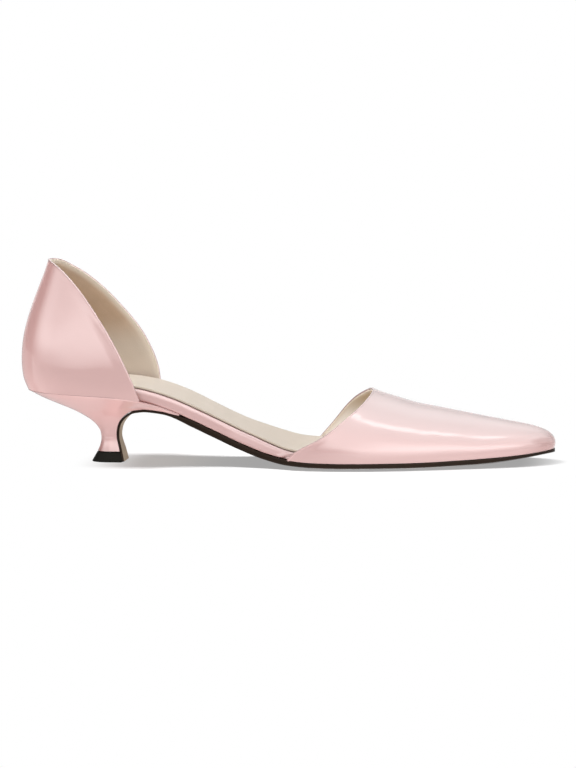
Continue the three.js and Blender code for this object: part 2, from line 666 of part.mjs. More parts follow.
function outsole() {
  const forepart = (x) => ease(alongOf(x), SOLE_WIDENS.from, SOLE_WIDENS.to);
  const thickness = (x) => {
    const shank = ease(x, LIP_END - LIP_BLEND, LIP_END + LIP_BLEND);
    const toe = ease(x, LENGTH - TOE_TAPER, LENGTH);
    const full = mix(WAIST_THICKNESS, OUTSOLE_THICKNESS, forepart(x));
    return mix(FLAP_THICKNESS, mix(full, TOE_THICKNESS, toe), shank);
  };
  const rings = [];
  const start = stationAt(alongOf(LIP_END + LIP_LEAD));
  for (let i = SOLE_STATIONS; i >= 0; i--) {
    const station = mix(start, 1, i / SOLE_STATIONS);
    const x = xAt(alongAt(station));
    const inset = mix(INSOLE_INSET, -SOLE_MARGIN, forepart(x));
    const outer = edgePoint(station, LATERAL, inset);
    const inner = edgePoint(station, MEDIAL, inset);
    const lift = (EDGE_LIFT / OUTSOLE_THICKNESS) * forepart(x);
    const [top, bottom] = [overFeather(outer.x, 0), overFeather(outer.x, -thickness(x))];
    rings.push(soleRing(top, bottom, outer.y, inner.y, lift));
  }
  for (let i = 0; i <= FLAP_STATIONS; i++) {
    const near = breastAt(i / FLAP_STATIONS, 0);
    const far = breastAt(i / FLAP_STATIONS, -thickness(near.x));
    rings.push(soleRing(near, far, -near.half, near.half, 0));
  }
  return loft(rings);
}

/** One closed section of the heel, from its back round the outer side to the flat front, and home again. */
function heelRing(place) {
  const side = (which) =>
    Array.from({ length: HEEL_SIDE + 1 }, (_, i) => {
      return place(1 - Math.cos((Math.PI / 2) * (i / HEEL_SIDE)), which);
    });
  return [...side(LATERAL), ...side(MEDIAL).reverse()];
}

/** Half width of a tongue with a round back and straight sides, at a share of its length. */
const tongue = (share) => Math.sqrt(1 - (1 - Math.min(1, share / TONGUE_ROUND)) ** 2);

/** Half width of the heel's seat, which draws in to the insole's edge in front of the counter. */
function seatHalf(x, side) {
  const tuck = INSOLE_INSET * ease(x, COUNTER_END, COUNTER_END + SEAT_TUCK);
  return x <= BACK_BULGE ? 0 : Math.abs(edgePoint(stationAt(alongOf(x)), side, tuck).y);
}

const heelBack = steady(HEEL_SECTIONS, "front", "back");
const heelDown = steady(HEEL_SECTIONS, "front", "down");
const heelWidth = steady(HEEL_SECTIONS, "front", "width");
const heelSeat = steady(HEEL_SECTIONS, "front", "seat");
const SEAT_BACK_HEIGHT = featherHeight(BACK_BULGE);

/** A section of the heel between two places on its back and its front, that keeps a share of the seat. */
function heelSection(back, front, width, seat) {
  return heelRing((share, side) => {
    const seatX = mix(BACK_BULGE, LIP_END, share);
    const crown = featherHeight(seatX) - mix(SEAT_BACK_HEIGHT, featherHeight(LIP_END), share);
    const lip = seatHalf(LIP_END, side);
    const shape = mix(tongue(share), seatHalf(seatX, side) / lip, seat);
    const half = shape * mix(width * lip, front.half, share * share);
    const z = mix(back.z, front.z, share) + crown * seat;
    return new THREE.Vector3(mix(back.x, front.x, share), side * half, z);
  });
}

function heel() {
  const lip = { x: LIP_END, z: featherHeight(LIP_END), half: breastAt(0, 0).half };
  const rings = [heelSection({ x: BACK_BULGE, z: SEAT_BACK_HEIGHT }, lip, 1, 1)];
  for (let i = 0; i <= HEEL_RINGS; i++) {
    const way = i / HEEL_RINGS;
    const back = {
      x: mix(BACK_BULGE, NECK_BACK, heelBack(way)),
      z: mix(SEAT_BACK_HEIGHT, NECK_HEIGHT, heelDown(way)),
    };
    rings.push(heelSection(back, breastAt(way * NECK_SHARE, CLEARANCE), heelWidth(way), heelSeat(way)));
  }
  const foot = breastAt(1, CLEARANCE);
  for (let i = 1; i <= FLARE_RINGS; i++) {
    const way = i / FLARE_RINGS;
    const front = breastAt(mix(NECK_SHARE, 1, way), CLEARANCE);
    const back = mix(NECK_BACK, TOP_PIECE_BACK + BACK_FLARE, way * way);
    const half = mix(NECK_WIDTH / 2, foot.half, way * way);
    rings.push(levelRing(back, front.x, half, mix(NECK_HEIGHT, HEEL_FOOT, way)));
  }
  return loft(rings);
}

/** A level tongue-shaped section of the heel. */
function levelRing(back, front, half, height) {
  return heelRing((share, side) => {
    return new THREE.Vector3(mix(back, front, share), side * half * tongue(share), height);
  });
}

function topPiece() {
  const half = TOP_PIECE_WIDTH / 2;
  const top = TOP_PIECE_HEIGHT;
  return loft([
    levelRing(TOP_PIECE_BACK + BACK_FLARE, TOP_PIECE_FRONT - SIDE_FLARE, half - SIDE_FLARE, top),
    levelRing(TOP_PIECE_BACK, TOP_PIECE_FRONT, half, 0),
  ]);
}

const patent = new THREE.MeshStandardMaterial({ color: 0xe9a5a6, roughness: 0.18 });
const covered = new THREE.MeshStandardMaterial({ color: 0xdf9a9c, roughness: 0.25 });
const lining = new THREE.MeshStandardMaterial({ color: 0xd9c3ae, roughness: 0.6 });
const soleLeather = new THREE.MeshStandardMaterial({ color: 0x2f211c, roughness: 0.5 });
const rubber = new THREE.MeshStandardMaterial({ color: 0x1d1b1b, roughness: 0.6 });

/** One named piece of the shoe. */
function piece(name, geometry, material) {
  const mesh = new THREE.Mesh(geometry, material);
  mesh.name = name;
  return mesh;
}

const shoe = new THREE.Group();
shoe.add(
  piece("outsole", outsole(), soleLeather),
  piece("insole", insole(), covered),
  piece("sock", sock(), lining),
  piece("vamp", vamp(), patent),
  piece("counter", counter(), patent),
  piece("heel", heel(), covered),
  piece("top_piece", topPiece(), rubber),
);

// The origin is the middle of the shoe's box, on the floor.
const box = new THREE.Box3().setFromObject(shoe);
const middle = box.getCenter(new THREE.Vector3());
shoe.position.set(-middle.x, -middle.y, -box.min.z);

export default shoe;
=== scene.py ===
"""Looks of the kitten heel pump: its leathers, its rolled toplines, its wrapped insole and its heel.

Sizes are millimetres in the shoe's own frame, as the maker reads them: X from the counter's back bulge to
the toe, Y to the inner side of the foot, Z up from the floor. Last.place turns points into metres in the
row frame.
"""

import logging
import math
from collections.abc import Callable, Sequence
from dataclasses import dataclass
from enum import Enum

import bmesh
import bpy
import numpy as np
from mathutils import Matrix, Vector


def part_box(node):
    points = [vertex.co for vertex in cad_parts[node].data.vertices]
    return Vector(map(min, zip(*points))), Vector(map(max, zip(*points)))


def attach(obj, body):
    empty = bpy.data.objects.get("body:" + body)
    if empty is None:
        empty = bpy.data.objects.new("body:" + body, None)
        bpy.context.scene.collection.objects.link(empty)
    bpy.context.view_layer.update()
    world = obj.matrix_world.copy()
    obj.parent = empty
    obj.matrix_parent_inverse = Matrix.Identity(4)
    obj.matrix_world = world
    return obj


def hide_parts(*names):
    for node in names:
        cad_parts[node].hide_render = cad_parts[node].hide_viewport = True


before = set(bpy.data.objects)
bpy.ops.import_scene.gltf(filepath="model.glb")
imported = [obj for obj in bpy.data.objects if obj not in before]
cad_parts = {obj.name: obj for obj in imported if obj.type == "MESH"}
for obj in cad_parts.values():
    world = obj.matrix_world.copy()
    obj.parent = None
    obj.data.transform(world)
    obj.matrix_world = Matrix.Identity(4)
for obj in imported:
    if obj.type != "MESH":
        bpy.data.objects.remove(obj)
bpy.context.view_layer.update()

log = logging.getLogger("pump")
Array = np.ndarray
Curve = Callable[[Array], Array]
ALONG = (1.0, 0.0, 0.0)
ACROSS = (0.0, 1.0, 0.0)
UP = (0.0, 0.0, 1.0)
MM = 0.001
# left between the heel's lip and the insole
SEAM = 0.06
# how far a topline's fold lies below the leather's edge
FOLD_DROP = 0.06
# facets of a rolled edge
ROLL_STEPS = 8
# the share of its length over which a tongue-shaped outline rounds
TONGUE_ROUND = 0.62
# in metres: points as near as the first are one, edges as short as the second are dropped
WELD = 2e-6
SLIVER = 1e-7


class Side(Enum):
    """Which side of the foot a line runs along; the value is the sign of its Y."""

    LATERAL = -1
    MEDIAL = 1


def natural(x: Sequence[float], y: Sequence[float]) -> Curve:
    """The natural cubic spline through points.

    Args:
        x: Rising places.
        y: A value at each place.

    Returns:
        A function that holds its end values outside the places.
    """
    x, y = np.asarray(x, float), np.asarray(y, float)
    span = np.diff(x)
    slope = np.diff(y) / span
    system = np.eye(len(x))
    wanted = np.zeros(len(x))
    for i in range(1, len(x) - 1):
        system[i, i - 1 : i + 2] = span[i - 1], 2 * (span[i - 1] + span[i]), span[i]
        wanted[i] = 6 * (slope[i] - slope[i - 1])
    bend = np.linalg.solve(system, wanted)

    def at(value: Array) -> Array:
        """The spline's value."""
        i = np.clip(np.searchsorted(x, value) - 1, 0, len(x) - 2)
        b = np.clip((value - x[i]) / span[i], 0, 1)
        a = 1 - b
        curve = ((a**3 - a) * bend[i] + (b**3 - b) * bend[i + 1]) * span[i] ** 2
        return a * y[i] + b * y[i + 1] + curve / 6

    return at


def steady(x: Sequence[float], y: Sequence[float]) -> Curve:
    """A smooth curve through points that never swings past them.

    Args:
        x: Rising places.
        y: A value at each place.

    Returns:
        A function that holds its end values outside the places.
    """
    x, y = np.asarray(x, float), np.asarray(y, float)
    span = np.diff(x)
    slope = np.diff(y) / span
    before = np.concatenate([slope[:1], slope])
    after = np.concatenate([slope, slope[-1:]])
    both = np.where(before * after > 0, before + after, 1)
    lean = np.where(before * after > 0, 2 * before * after / both, 0)

    def at(value: Array) -> Array:
        """The curve's value."""
        i = np.clip(np.searchsorted(x, value) - 1, 0, len(x) - 2)
        t = np.clip((value - x[i]) / span[i], 0, 1)
        ends = y[i] * (2 * t**3 - 3 * t**2 + 1) + y[i + 1] * (3 * t**2 - 2 * t**3)
        turns = lean[i] * (t**3 - 2 * t**2 + t) + lean[i + 1] * (t**3 - t**2)
        return ends + span[i] * turns

    return at


def ease(value: Array, start: float, end: float) -> Array:
    """A smooth step from 0 at start to 1 at end."""
    t = np.clip((np.asarray(value, float) - start) / (end - start), 0, 1)
    return t * t * (3 - 2 * t)


def mix(a: Array, b: Array, share: Array) -> Array:
    """The value a share of the way from a to b."""
    return a + (b - a) * share


def column(rows: Sequence[Sequence[float]], index: int) -> Array:
    """One column of a short table."""
    return np.array([row[index] for row in rows], float)


def unit(vectors: Array) -> Array:
    """The same directions with length 1."""
    return vectors / np.maximum(np.linalg.norm(vectors, axis=-1, keepdims=True), 1e-9)


@dataclass
class Last:
    """The form that the shoe is lasted on: its feather edge in plan and height, and its turn at the toe."""

    length: float = 264.2
    ball_place: float = 0.58
    ball_width: float = 72.0
    seat_width: float = 50.0
    waist_width: float = 44.0
    seat_height: float = 36.3
    toe_swing: float = 5.0
    toe_spring: float = 3.2
    clearance: float = 0.3
    wall: float = 1.6
    back_bulge: float = 3.1
    outsole_thickness: float = 3.6

    # along, which width (0 seat, 1 waist, 2 ball), outer half width and inner half width as shares of it
    WIDTHS = (
        (0, 0, 0, 0),
        (0.026, 0, 0.31, 0.31),
        (0.065, 0, 0.426, 0.424),
        (0.122, 0, 0.49, 0.485),
        (0.18, 0, 0.51, 0.5),
        (0.237, 0, 0.506, 0.49),
        (0.313, 1, 0.53, 0.515),
        (0.39, 1, 0.53, 0.48),
        (0.455, 2, 0.385, 0.36),
        (0.523, 2, 0.462, 0.455),
        (0.6, 2, 0.498, 0.505),
        (0.67, 2, 0.487, 0.512),
        (0.753, 2, 0.432, 0.457),
        (0.83, 2, 0.363, 0.377),
        (0.906, 2, 0.287, 0.285),
        (0.952, 2, 0.215, 0.208),
        (0.982, 2, 0.13, 0.126),
        (1, 2, 0, 0),
    )

    # along, share of the seat's height over the ball, share of the toe spring
    HEIGHTS = (
        (0, 1, 0),
        (0.09, 0.972, 0),
        (0.18, 0.933, 0),
        (0.222, 0.891, 0),
        (0.256, 0.82, 0),
        (0.286, 0.733, 0),
        (0.326, 0.588, 0),
        (0.37, 0.42, 0),
        (0.418, 0.25, 0),
        (0.469, 0.11, 0),
        (0.514, 0.034, 0),
        (0.562, 0.006, 0),
        (0.62, 0, 0),
        (0.73, 0, 0),
        (0.764, 0, 0.03),
        (0.833, 0, 0.2),
        (0.902, 0, 0.45),
        (0.953, 0, 0.7),
        (1, 0, 1),
    )

    def __post_init__(self) -> None:
        """Prepares the curves of the tables and finds the row frame's origin from the top piece."""
        widths = np.array([self.seat_width, self.waist_width, self.ball_width])
        of = widths[column(self.WIDTHS, 1).astype(int)]
        stations = self.station_at(column(self.WIDTHS, 0))
        along = column(self.HEIGHTS, 0)
        self._outer = natural(stations, column(self.WIDTHS, 2) * of)
        self._inner = natural(stations, column(self.WIDTHS, 3) * of)
        self._rise = steady(along, column(self.HEIGHTS, 1))
        self._spring = steady(along, column(self.HEIGHTS, 2))
        low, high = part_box("top_piece")
        middle = (low.y + high.y) / 2
        self._origin = np.array([low.x / MM - TopPiece.back, middle / MM, 0.0])

    @staticmethod
    def along_at(station: Array) -> Array:
        """The share of the feather edge's length at a station, which is even in angle."""
        return (1 - np.cos(np.pi * np.asarray(station, float))) / 2

    @staticmethod
    def station_at(along: Array) -> Array:
        """The station at a share of the feather edge's length."""
        return np.arccos(1 - 2 * np.clip(along, 0, 1)) / np.pi

    def x_at(self, along: Array) -> Array:
        """X at a share of the feather edge's length."""
        return self.back_bulge + (self.length - self.back_bulge) * along

    def along_of(self, x: Array) -> Array:
        """The share of the feather edge's length at X."""
        return (x - self.back_bulge) / (self.length - self.back_bulge)

    def half_width(self, station: Array, side: Array) -> Array:
        """Half width of the feather edge at a station, on the side of that sign."""
        return np.where(np.asarray(side) < 0, self._outer(station), self._inner(station))

    def height(self, x: Array) -> Array:
        """Height of the feather edge over the floor."""
        along = self.along_of(x)
        rise = (self.seat_height - self.outsole_thickness) * self._rise(along)
        return self.outsole_thickness + rise + self.toe_spring * self._spring(along)

    def edge(self, station: Array, side: Array, inset: Array = 0.0) -> tuple[Array, Array]:
        """A point of the feather edge in plan.

        Args:
            station: 0 at the back to 1 at the toe.
            side: -1 for the outer side, 1 for the inner side.
            inset: How far it is moved in.

        Returns:
            X and Y.
        """
        step = 1e-4
        station = np.asarray(station, float)
        s = np.clip(station, step, 1 - step)
        run = self.x_at(self.along_at(s + step)) - self.x_at(self.along_at(s - step))
        spread = self.half_width(s + step, side) - self.half_width(s - step, side)
        size = np.hypot(run, spread)
        ends = (station <= 0) | (station >= 1)
        out_x = np.where(ends, np.where(station <= 0, -1.0, 1.0), -spread / size)
        out_y = np.where(ends, 0.0, side * run / size)
        x = self.x_at(self.along_at(station)) - out_x * inset
        y = side * self.half_width(station, side) - out_y * inset
        return x, np.where(ends, 0.0, y)

    def over(self, x: Array, offset: Array) -> tuple[Array, Array]:
        """X and Z of a point off the feather edge's height line, square to its slope."""
        step = 0.5
        slope = (self.height(x + step) - self.height(x - step)) / (2 * step)
        run = np.hypot(1, slope)
        return x - offset * slope / run, self.height(x) + offset / run

    def place(self, points: Array) -> Array:
        """Points turned inwards at the toe and moved to the row frame, in metres."""
        points = np.array(points, float).reshape(-1, 3)
        ball = self.ball_place * self.length
        turn = np.maximum(0, (points[:, 0] - ball) / (self.length - ball)) ** 2
        points[:, 1] += self.toe_swing * turn
        return (points + self._origin) * MM


def linear(code: str) -> tuple[float, float, float, float]:
    """The linear colour of an sRGB hex value such as "#e9a5a6"."""
    parts = [int(code[i : i + 2], 16) / 255 for i in (1, 3, 5)]
    return (*[c / 12.92 if c <= 0.04045 else ((c + 0.055) / 1.055) ** 2.4 for c in parts], 1.0)


def add_node(tree: bpy.types.NodeTree, kind: str, inputs: dict | None = None, **settings) -> bpy.types.Node:
    """Adds a node with its settings and links.

    Args:
        tree: Where it goes.
        kind: The node's type, such as "ShaderNodeBump".
        inputs: Values, or the output sockets to link from, by input name or number.
        settings: The node's own properties.

    Returns:
        The node.
    """
    node = tree.nodes.new(kind)
    for name, value in settings.items():
        setattr(node, name, value)
    for name, value in (inputs or {}).items():
        if isinstance(value, bpy.types.NodeSocket):
            tree.links.new(value, node.inputs[name])
        else:
            node.inputs[name].default_value = value
    return node


def new_material(name: str) -> tuple[bpy.types.Material, bpy.types.NodeTree, bpy.types.NodeSocket]:
    """An empty node material, its tree, and the Object coordinates that its patterns read."""
    material = bpy.data.materials.new(name)
    material.use_nodes = True
    tree = material.node_tree
    tree.nodes.clear()
    return material, tree, add_node(tree, "ShaderNodeTexCoord").outputs["Object"]


def finish_material(tree: bpy.types.NodeTree, shader: bpy.types.Node) -> None:
    """Links a shader to the tree's output."""
    add_node(tree, "ShaderNodeOutputMaterial", {"Surface": shader.outputs[0]})


@dataclass(frozen=True)
class PatentLeather:
    """Patent leather: split hide flooded with clear lacquer. The lacquer lies as smooth as glass over a soft,
    slightly wavy hide, so lights come back sharp at the rim and a little drawn out."""

    name: str = "patent_leather"
    colour: str = "#c59c98"
    deep: str = "#be928e"
    roughness: float = 0.38
    hide_ior: float = 1.5
    lacquer: float = 1.0
    lacquer_roughness: float = 0.1
    lacquer_ior: float = 1.62
    cloud_mm: float = 38.0
    wave_mm: float = 17.0
    wave_depth_mm: float = 0.3
    peel_mm: float = 1.6
    peel_depth_mm: float = 0.004

    def make(self) -> bpy.types.Material:
        """The material."""
        material, tree, place = new_material(self.name)
        cloud = add_node(
            tree,
            "ShaderNodeTexNoise",
            {"Vector": place, "Scale": 1 / (self.cloud_mm * MM), "Detail": 2.0, "Roughness": 0.4},
        )
        colour = add_node(
            tree,
            "ShaderNodeMix",
            {0: cloud.outputs[0], 6: linear(self.colour), 7: linear(self.deep)},
            data_type="RGBA",
        )
        wave = add_node(
            tree,
            "ShaderNodeTexNoise",
            {"Vector": place, "Scale": 1 / (self.wave_mm * MM), "Detail": 1.0, "Roughness": 0.4},
        )
        peel = add_node(
            tree,
            "ShaderNodeTexNoise",
            {"Vector": place, "Scale": 1 / (self.peel_mm * MM), "Detail": 2.0, "Roughness": 0.5},
        )
        soft = add_node(
            tree,
            "ShaderNodeBump",
            {"Height": wave.outputs[0], "Distance": self.wave_depth_mm * MM, "Strength": 1.0},
        )
        fine = add_node(
            tree,
            "ShaderNodeBump",
            {
                "Height": peel.outputs[0],
                "Distance": self.peel_depth_mm * MM,
                "Strength": 1.0,
                "Normal": soft.outputs[0],
            },
        )
        shader = add_node(
            tree,
            "ShaderNodeBsdfPrincipled",
            {
                "Base Color": colour.outputs[2],
                "Roughness": self.roughness,
                "IOR": self.hide_ior,
                "Normal": fine.outputs[0],
                "Coat Weight": self.lacquer,
                "Coat Roughness": self.lacquer_roughness,
                "Coat IOR": self.lacquer_ior,
                "Coat Normal": fine.outputs[0],
            },
        )
        finish_material(tree, shader)
        return material


@dataclass(frozen=True)
class LiningLeather:
    """Lining leather: thin sheepskin, drum dyed and left without a lacquer. It is matt, with small pores and
    a faint mottle, and a short nap that lightens it where it turns away. Low down its colour fades to a paler
    one, which is painted light, and along its turned edge to a rim colour, painted light where that is
    lighter and painted shade where it is darker."""

    name: str
    colour: str
    mottle: str
    # pale is painted light: below the given heights the lining is painted paler, and above them it keeps its
    # darker colour, where shade falls
    pale: str
    # rim is laid along the turned edge: painted light where it is lighter than the colour, painted shade where
    # it is darker
    rim: str
    painted_light_below_mm: tuple[float, float] = (0.0, 1.0)
    roughness: float = 0.72
    ior: float = 1.45
    shine: float = 0.2
    nap: float = 0.25
    nap_roughness: float = 0.5
    pore_mm: float = 0.55
    pore_depth_mm: float = 0.05
    pore_strength: float = 0.6
    mottle_mm: float = 9.0

    def make(self) -> bpy.types.Material:
        """The material."""
        material, tree, place = new_material(self.name)
        mottle = add_node(
            tree,
            "ShaderNodeTexNoise",
            {"Vector": place, "Scale": 1 / (self.mottle_mm * MM), "Detail": 6.0, "Roughness": 0.65},
        )
        colour = add_node(
            tree,
            "ShaderNodeMix",
            {0: mottle.outputs[0], 6: linear(self.colour), 7: linear(self.mottle)},
            data_type="RGBA",
        )
        # Painted light: towards the bottom the colour fades to the paler one, below the given heights.
        height = add_node(tree, "ShaderNodeSeparateXYZ", {0: place}).outputs["Z"]
        low, high = (mm * MM for mm in self.painted_light_below_mm)
        down = add_node(
            tree,
            "ShaderNodeMapRange",
            {0: height, 1: low, 2: high, 3: 1.0, 4: 0.0},
            interpolation_type="SMOOTHSTEP",
        )
        colour = add_node(
            tree,
            "ShaderNodeMix",
            {0: down.outputs[0], 6: colour.outputs[2], 7: linear(self.pale)},
            data_type="RGBA",
        )
        # Along the turned edge the rim colour is laid over the leather: painted light where it is lighter,
        # painted shade where it is darker.
        turned = add_node(tree, "ShaderNodeAttribute", attribute_name="tone")
        colour = add_node(
            tree,
            "ShaderNodeMix",
            {0: turned.outputs["Fac"], 6: colour.outputs[2], 7: linear(self.rim)},
            data_type="RGBA",
        )
        pore = add_node(
            tree,
            "ShaderNodeTexVoronoi",
            {"Vector": place, "Scale": 1 / (self.pore_mm * MM)},
        )
        bump = add_node(
            tree,
            "ShaderNodeBump",
            {
                "Height": pore.outputs[0],
                "Distance": self.pore_depth_mm * MM,
                "Strength": self.pore_strength,
            },
        )
        shader = add_node(
            tree,
            "ShaderNodeBsdfPrincipled",
            {
                "Base Color": colour.outputs[2],
                "Roughness": self.roughness,
                "IOR": self.ior,
                "Specular IOR Level": self.shine,
                "Sheen Weight": self.nap,
                "Sheen Roughness": self.nap_roughness,
                "Normal": bump.outputs[0],
            },
        )
        finish_material(tree, shader)
        return material


@dataclass(frozen=True)
class SoleLeather:
    """Sole leather: oak bark bend with the fibre's streaks along it, its own beige on the flap down the heel.
    Its edge and underside are stained and inked nearly black and burnished with wax, which leaves a low,
    soft gloss."""

    name: str = "sole_leather"
    colour: str = "#a08d78"
    streak: str = "#80705c"
    ink: str = "#17100a"
    worn: str = "#2a1d14"
    roughness: float = 0.4
    ior: float = 1.5
    shine: float = 0.06
    fibre_mm: float = 2.4
    fibre_draw: float = 0.12
    fibre_depth_mm: float = 0.03
    fibre_strength: float = 0.5

    def make(self) -> bpy.types.Material:
        """The material."""
        material, tree, place = new_material(self.name)
        along = add_node(tree, "ShaderNodeMapping", {"Vector": place, "Scale": (self.fibre_draw, 1.0, 1.0)})
        fibre = add_node(
            tree,
            "ShaderNodeTexNoise",
            {
                "Vector": along.outputs[0],
                "Scale": 1 / (self.fibre_mm * MM),
                "Detail": 5.0,
                "Roughness": 0.6,
            },
        )
        bare = add_node(
            tree,
            "ShaderNodeMix",
            {0: fibre.outputs[0], 6: linear(self.colour), 7: linear(self.streak)},
            data_type="RGBA",
        )
        inked = add_node(
            tree,
            "ShaderNodeMix",
            {0: fibre.outputs[0], 6: linear(self.ink), 7: linear(self.worn)},
            data_type="RGBA",
        )
        inking = add_node(tree, "ShaderNodeAttribute", attribute_name="tone")
        colour = add_node(
            tree,
            "ShaderNodeMix",
            {0: inking.outputs["Fac"], 6: bare.outputs[2], 7: inked.outputs[2]},
            data_type="RGBA",
        )
        bump = add_node(
            tree,
            "ShaderNodeBump",
            {
                "Height": fibre.outputs[0],
                "Distance": self.fibre_depth_mm * MM,
                "Strength": self.fibre_strength,
            },
        )
        shader = add_node(
            tree,
            "ShaderNodeBsdfPrincipled",
            {
                "Base Color": colour.outputs[2],
                "Roughness": self.roughness,
                "IOR": self.ior,
                "Specular IOR Level": self.shine,
                "Normal": bump.outputs[0],
            },
        )
        finish_material(tree, shader)
        return material


@dataclass(frozen=True)
class TopPieceRubber:
    """Moulded polyurethane rubber of the top piece: black and dull, with the faint speckle of its mould."""

    name: str = "top_piece_rubber"
    colour: str = "#0d0d0a"
    pale: str = "#171612"
    roughness: float = 0.55
    ior: float = 1.5
    shine: float = 0.06
    speckle_mm: float = 0.7
    speckle_depth_mm: float = 0.03
    speckle_strength: float = 0.6

    def make(self) -> bpy.types.Material:
        """The material."""
        material, tree, place = new_material(self.name)
        speckle = add_node(
            tree,
            "ShaderNodeTexNoise",
            {"Vector": place, "Scale": 1 / (self.speckle_mm * MM), "Detail": 3.0, "Roughness": 0.6},
        )
        colour = add_node(
            tree,
            "ShaderNodeMix",
            {0: speckle.outputs[0], 6: linear(self.colour), 7: linear(self.pale)},
            data_type="RGBA",
        )
        bump = add_node(
            tree,
            "ShaderNodeBump",
            {
                "Height": speckle.outputs[0],
                "Distance": self.speckle_depth_mm * MM,
                "Strength": self.speckle_strength,
            },
        )
        shader = add_node(
            tree,
            "ShaderNodeBsdfPrincipled",
            {
                "Base Color": colour.outputs[2],
                "Roughness": self.roughness,
                "IOR": self.ior,
                "Specular IOR Level": self.shine,
                "Normal": bump.outputs[0],
            },
        )
        finish_material(tree, shader)
        return material


def solid_object(
    name: str,
    last: Last,
    points: Array,
    faces: Sequence[Sequence[int]],
    material: bpy.types.Material,
    sharp_degrees: float = 180.0,
    tone: Array | None = None,
) -> bpy.types.Object:
    """A closed piece from points and faces, with what coincides merged and what is open closed.

    Args:
        name: The piece's name.
        last: The form that places its points.
        points: Its points in the shoe's frame.
        faces: Corners of its faces.
        material: Its finish.
        sharp_degrees: Edges bent by more than this are drawn crisp.
        tone: How much of its material's second tone each point carries, where the piece has one.

    Returns:
        The object, at the origin, with its place in its mesh.
    """
    mesh = bpy.data.meshes.new(name)
    mesh.from_pydata(last.place(points).tolist(), [], [list(map(int, f)) for f in faces])
    if tone is not None:
        mesh.attributes.new("tone", "FLOAT", "POINT").data.foreach_set("value", np.asarray(tone, np.float32))
    work = bmesh.new()
    work.from_mesh(mesh)
    bmesh.ops.remove_doubles(work, verts=work.verts, dist=WELD)
    bmesh.ops.dissolve_degenerate(work, edges=work.edges, dist=SLIVER)
    rim = [e for e in work.edges if e.is_boundary]
    if rim:
        bmesh.ops.holes_fill(work, edges=rim, sides=0)
    bmesh.ops.recalc_face_normals(work, faces=work.faces)
    if work.calc_volume(signed=True) < 0:
        bmesh.ops.reverse_faces(work, faces=work.faces)
    work.to_mesh(mesh)
    work.free()
    mesh.shade_smooth()
    if sharp_degrees < 180:
        mesh.set_sharp_from_angle(angle=math.radians(sharp_degrees))
    mesh.materials.append(material)
    made = bpy.data.objects.new(name, mesh)
    bpy.context.scene.collection.objects.link(made)
    return made


def show(piece: bpy.types.Object, slot: str, *nodes: str) -> None:
    """Gives a piece to the shoe's one body and hides the CAD nodes that it stands for."""
    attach(piece, "root")
    if nodes:
        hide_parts(*nodes)
    piece.data.calc_loop_triangles()
    log.info("%s: %d triangles", piece.name, len(piece.data.loop_triangles))


def grid_normals(grid: Array) -> Array:
    """Unit normals of a grid of points, from its neighbours' differences."""
    down = np.gradient(grid, axis=0)
    across = np.gradient(grid, axis=1)
    return unit(np.cross(down, across))


def strip_faces(rows: int, columns: int, closed: bool = False) -> list[tuple[int, int, int, int]]:
    """Quads of a grid of points numbered row by row, closed across its columns if asked."""
    count = columns if closed else columns - 1
    cells = ((r, c) for r in range(rows - 1) for c in range(count))
    return [
        (
            r * columns + c,
            r * columns + (c + 1) % columns,
            (r + 1) * columns + (c + 1) % columns,
            (r + 1) * columns + c,
        )
        for r, c in cells
    ]


def leather_layer(grid: Array, normals: Array, near: float, far: float, roll: Array) -> tuple[Array, list]:
    """A layer of a lasted upper between two depths, with a rolled edge along its first row.

    Args:
        grid: Points of the upper's outer face, row by row from the topline.
        normals: Unit normals there, outwards.
        near: Depth of the layer's outer face.
        far: Depth of its inner face.
        roll: Unit directions out over the topline, one for each column.

    Returns:
        Points and faces of the closed layer.
    """
    rows, columns = grid.shape[:2]
    outer = grid - normals * near
    inner = grid - normals * far
    middle = (outer[0] + inner[0]) / 2
    half = (far - near) / 2
    turns = np.linspace(0, math.pi, ROLL_STEPS + 1)[1:-1]
    rolled = [middle + half * (math.cos(t) * normals[0] + math.sin(t) * roll) for t in turns]
    path = np.concatenate([outer[::-1], np.array(rolled), inner])
    count = len(path)
    faces = strip_faces(count, columns)
    foot = [(i, i + 1, len(path) - 2 - i, len(path) - 1 - i) for i in range(rows - 1)]
    for i, a, b, j in foot:
        for c in (0, columns - 1):
            faces.append(tuple(k * columns + c for k in (i, a, b, j)))
    return path.reshape(-1, 3), faces


def turned_share(grid: Array, width: float) -> Array:
    """How much each point of a leather layer lies on its turned edge, in the layer's own order. It lays the
    lining's rim colour, which is painted light.
    """
    down = np.linalg.norm(grid - grid[:1], axis=-1)
    share = 1 - ease(down, 0, width)
    return np.concatenate([share[::-1], np.ones((ROLL_STEPS - 1, share.shape[1])), share]).ravel()


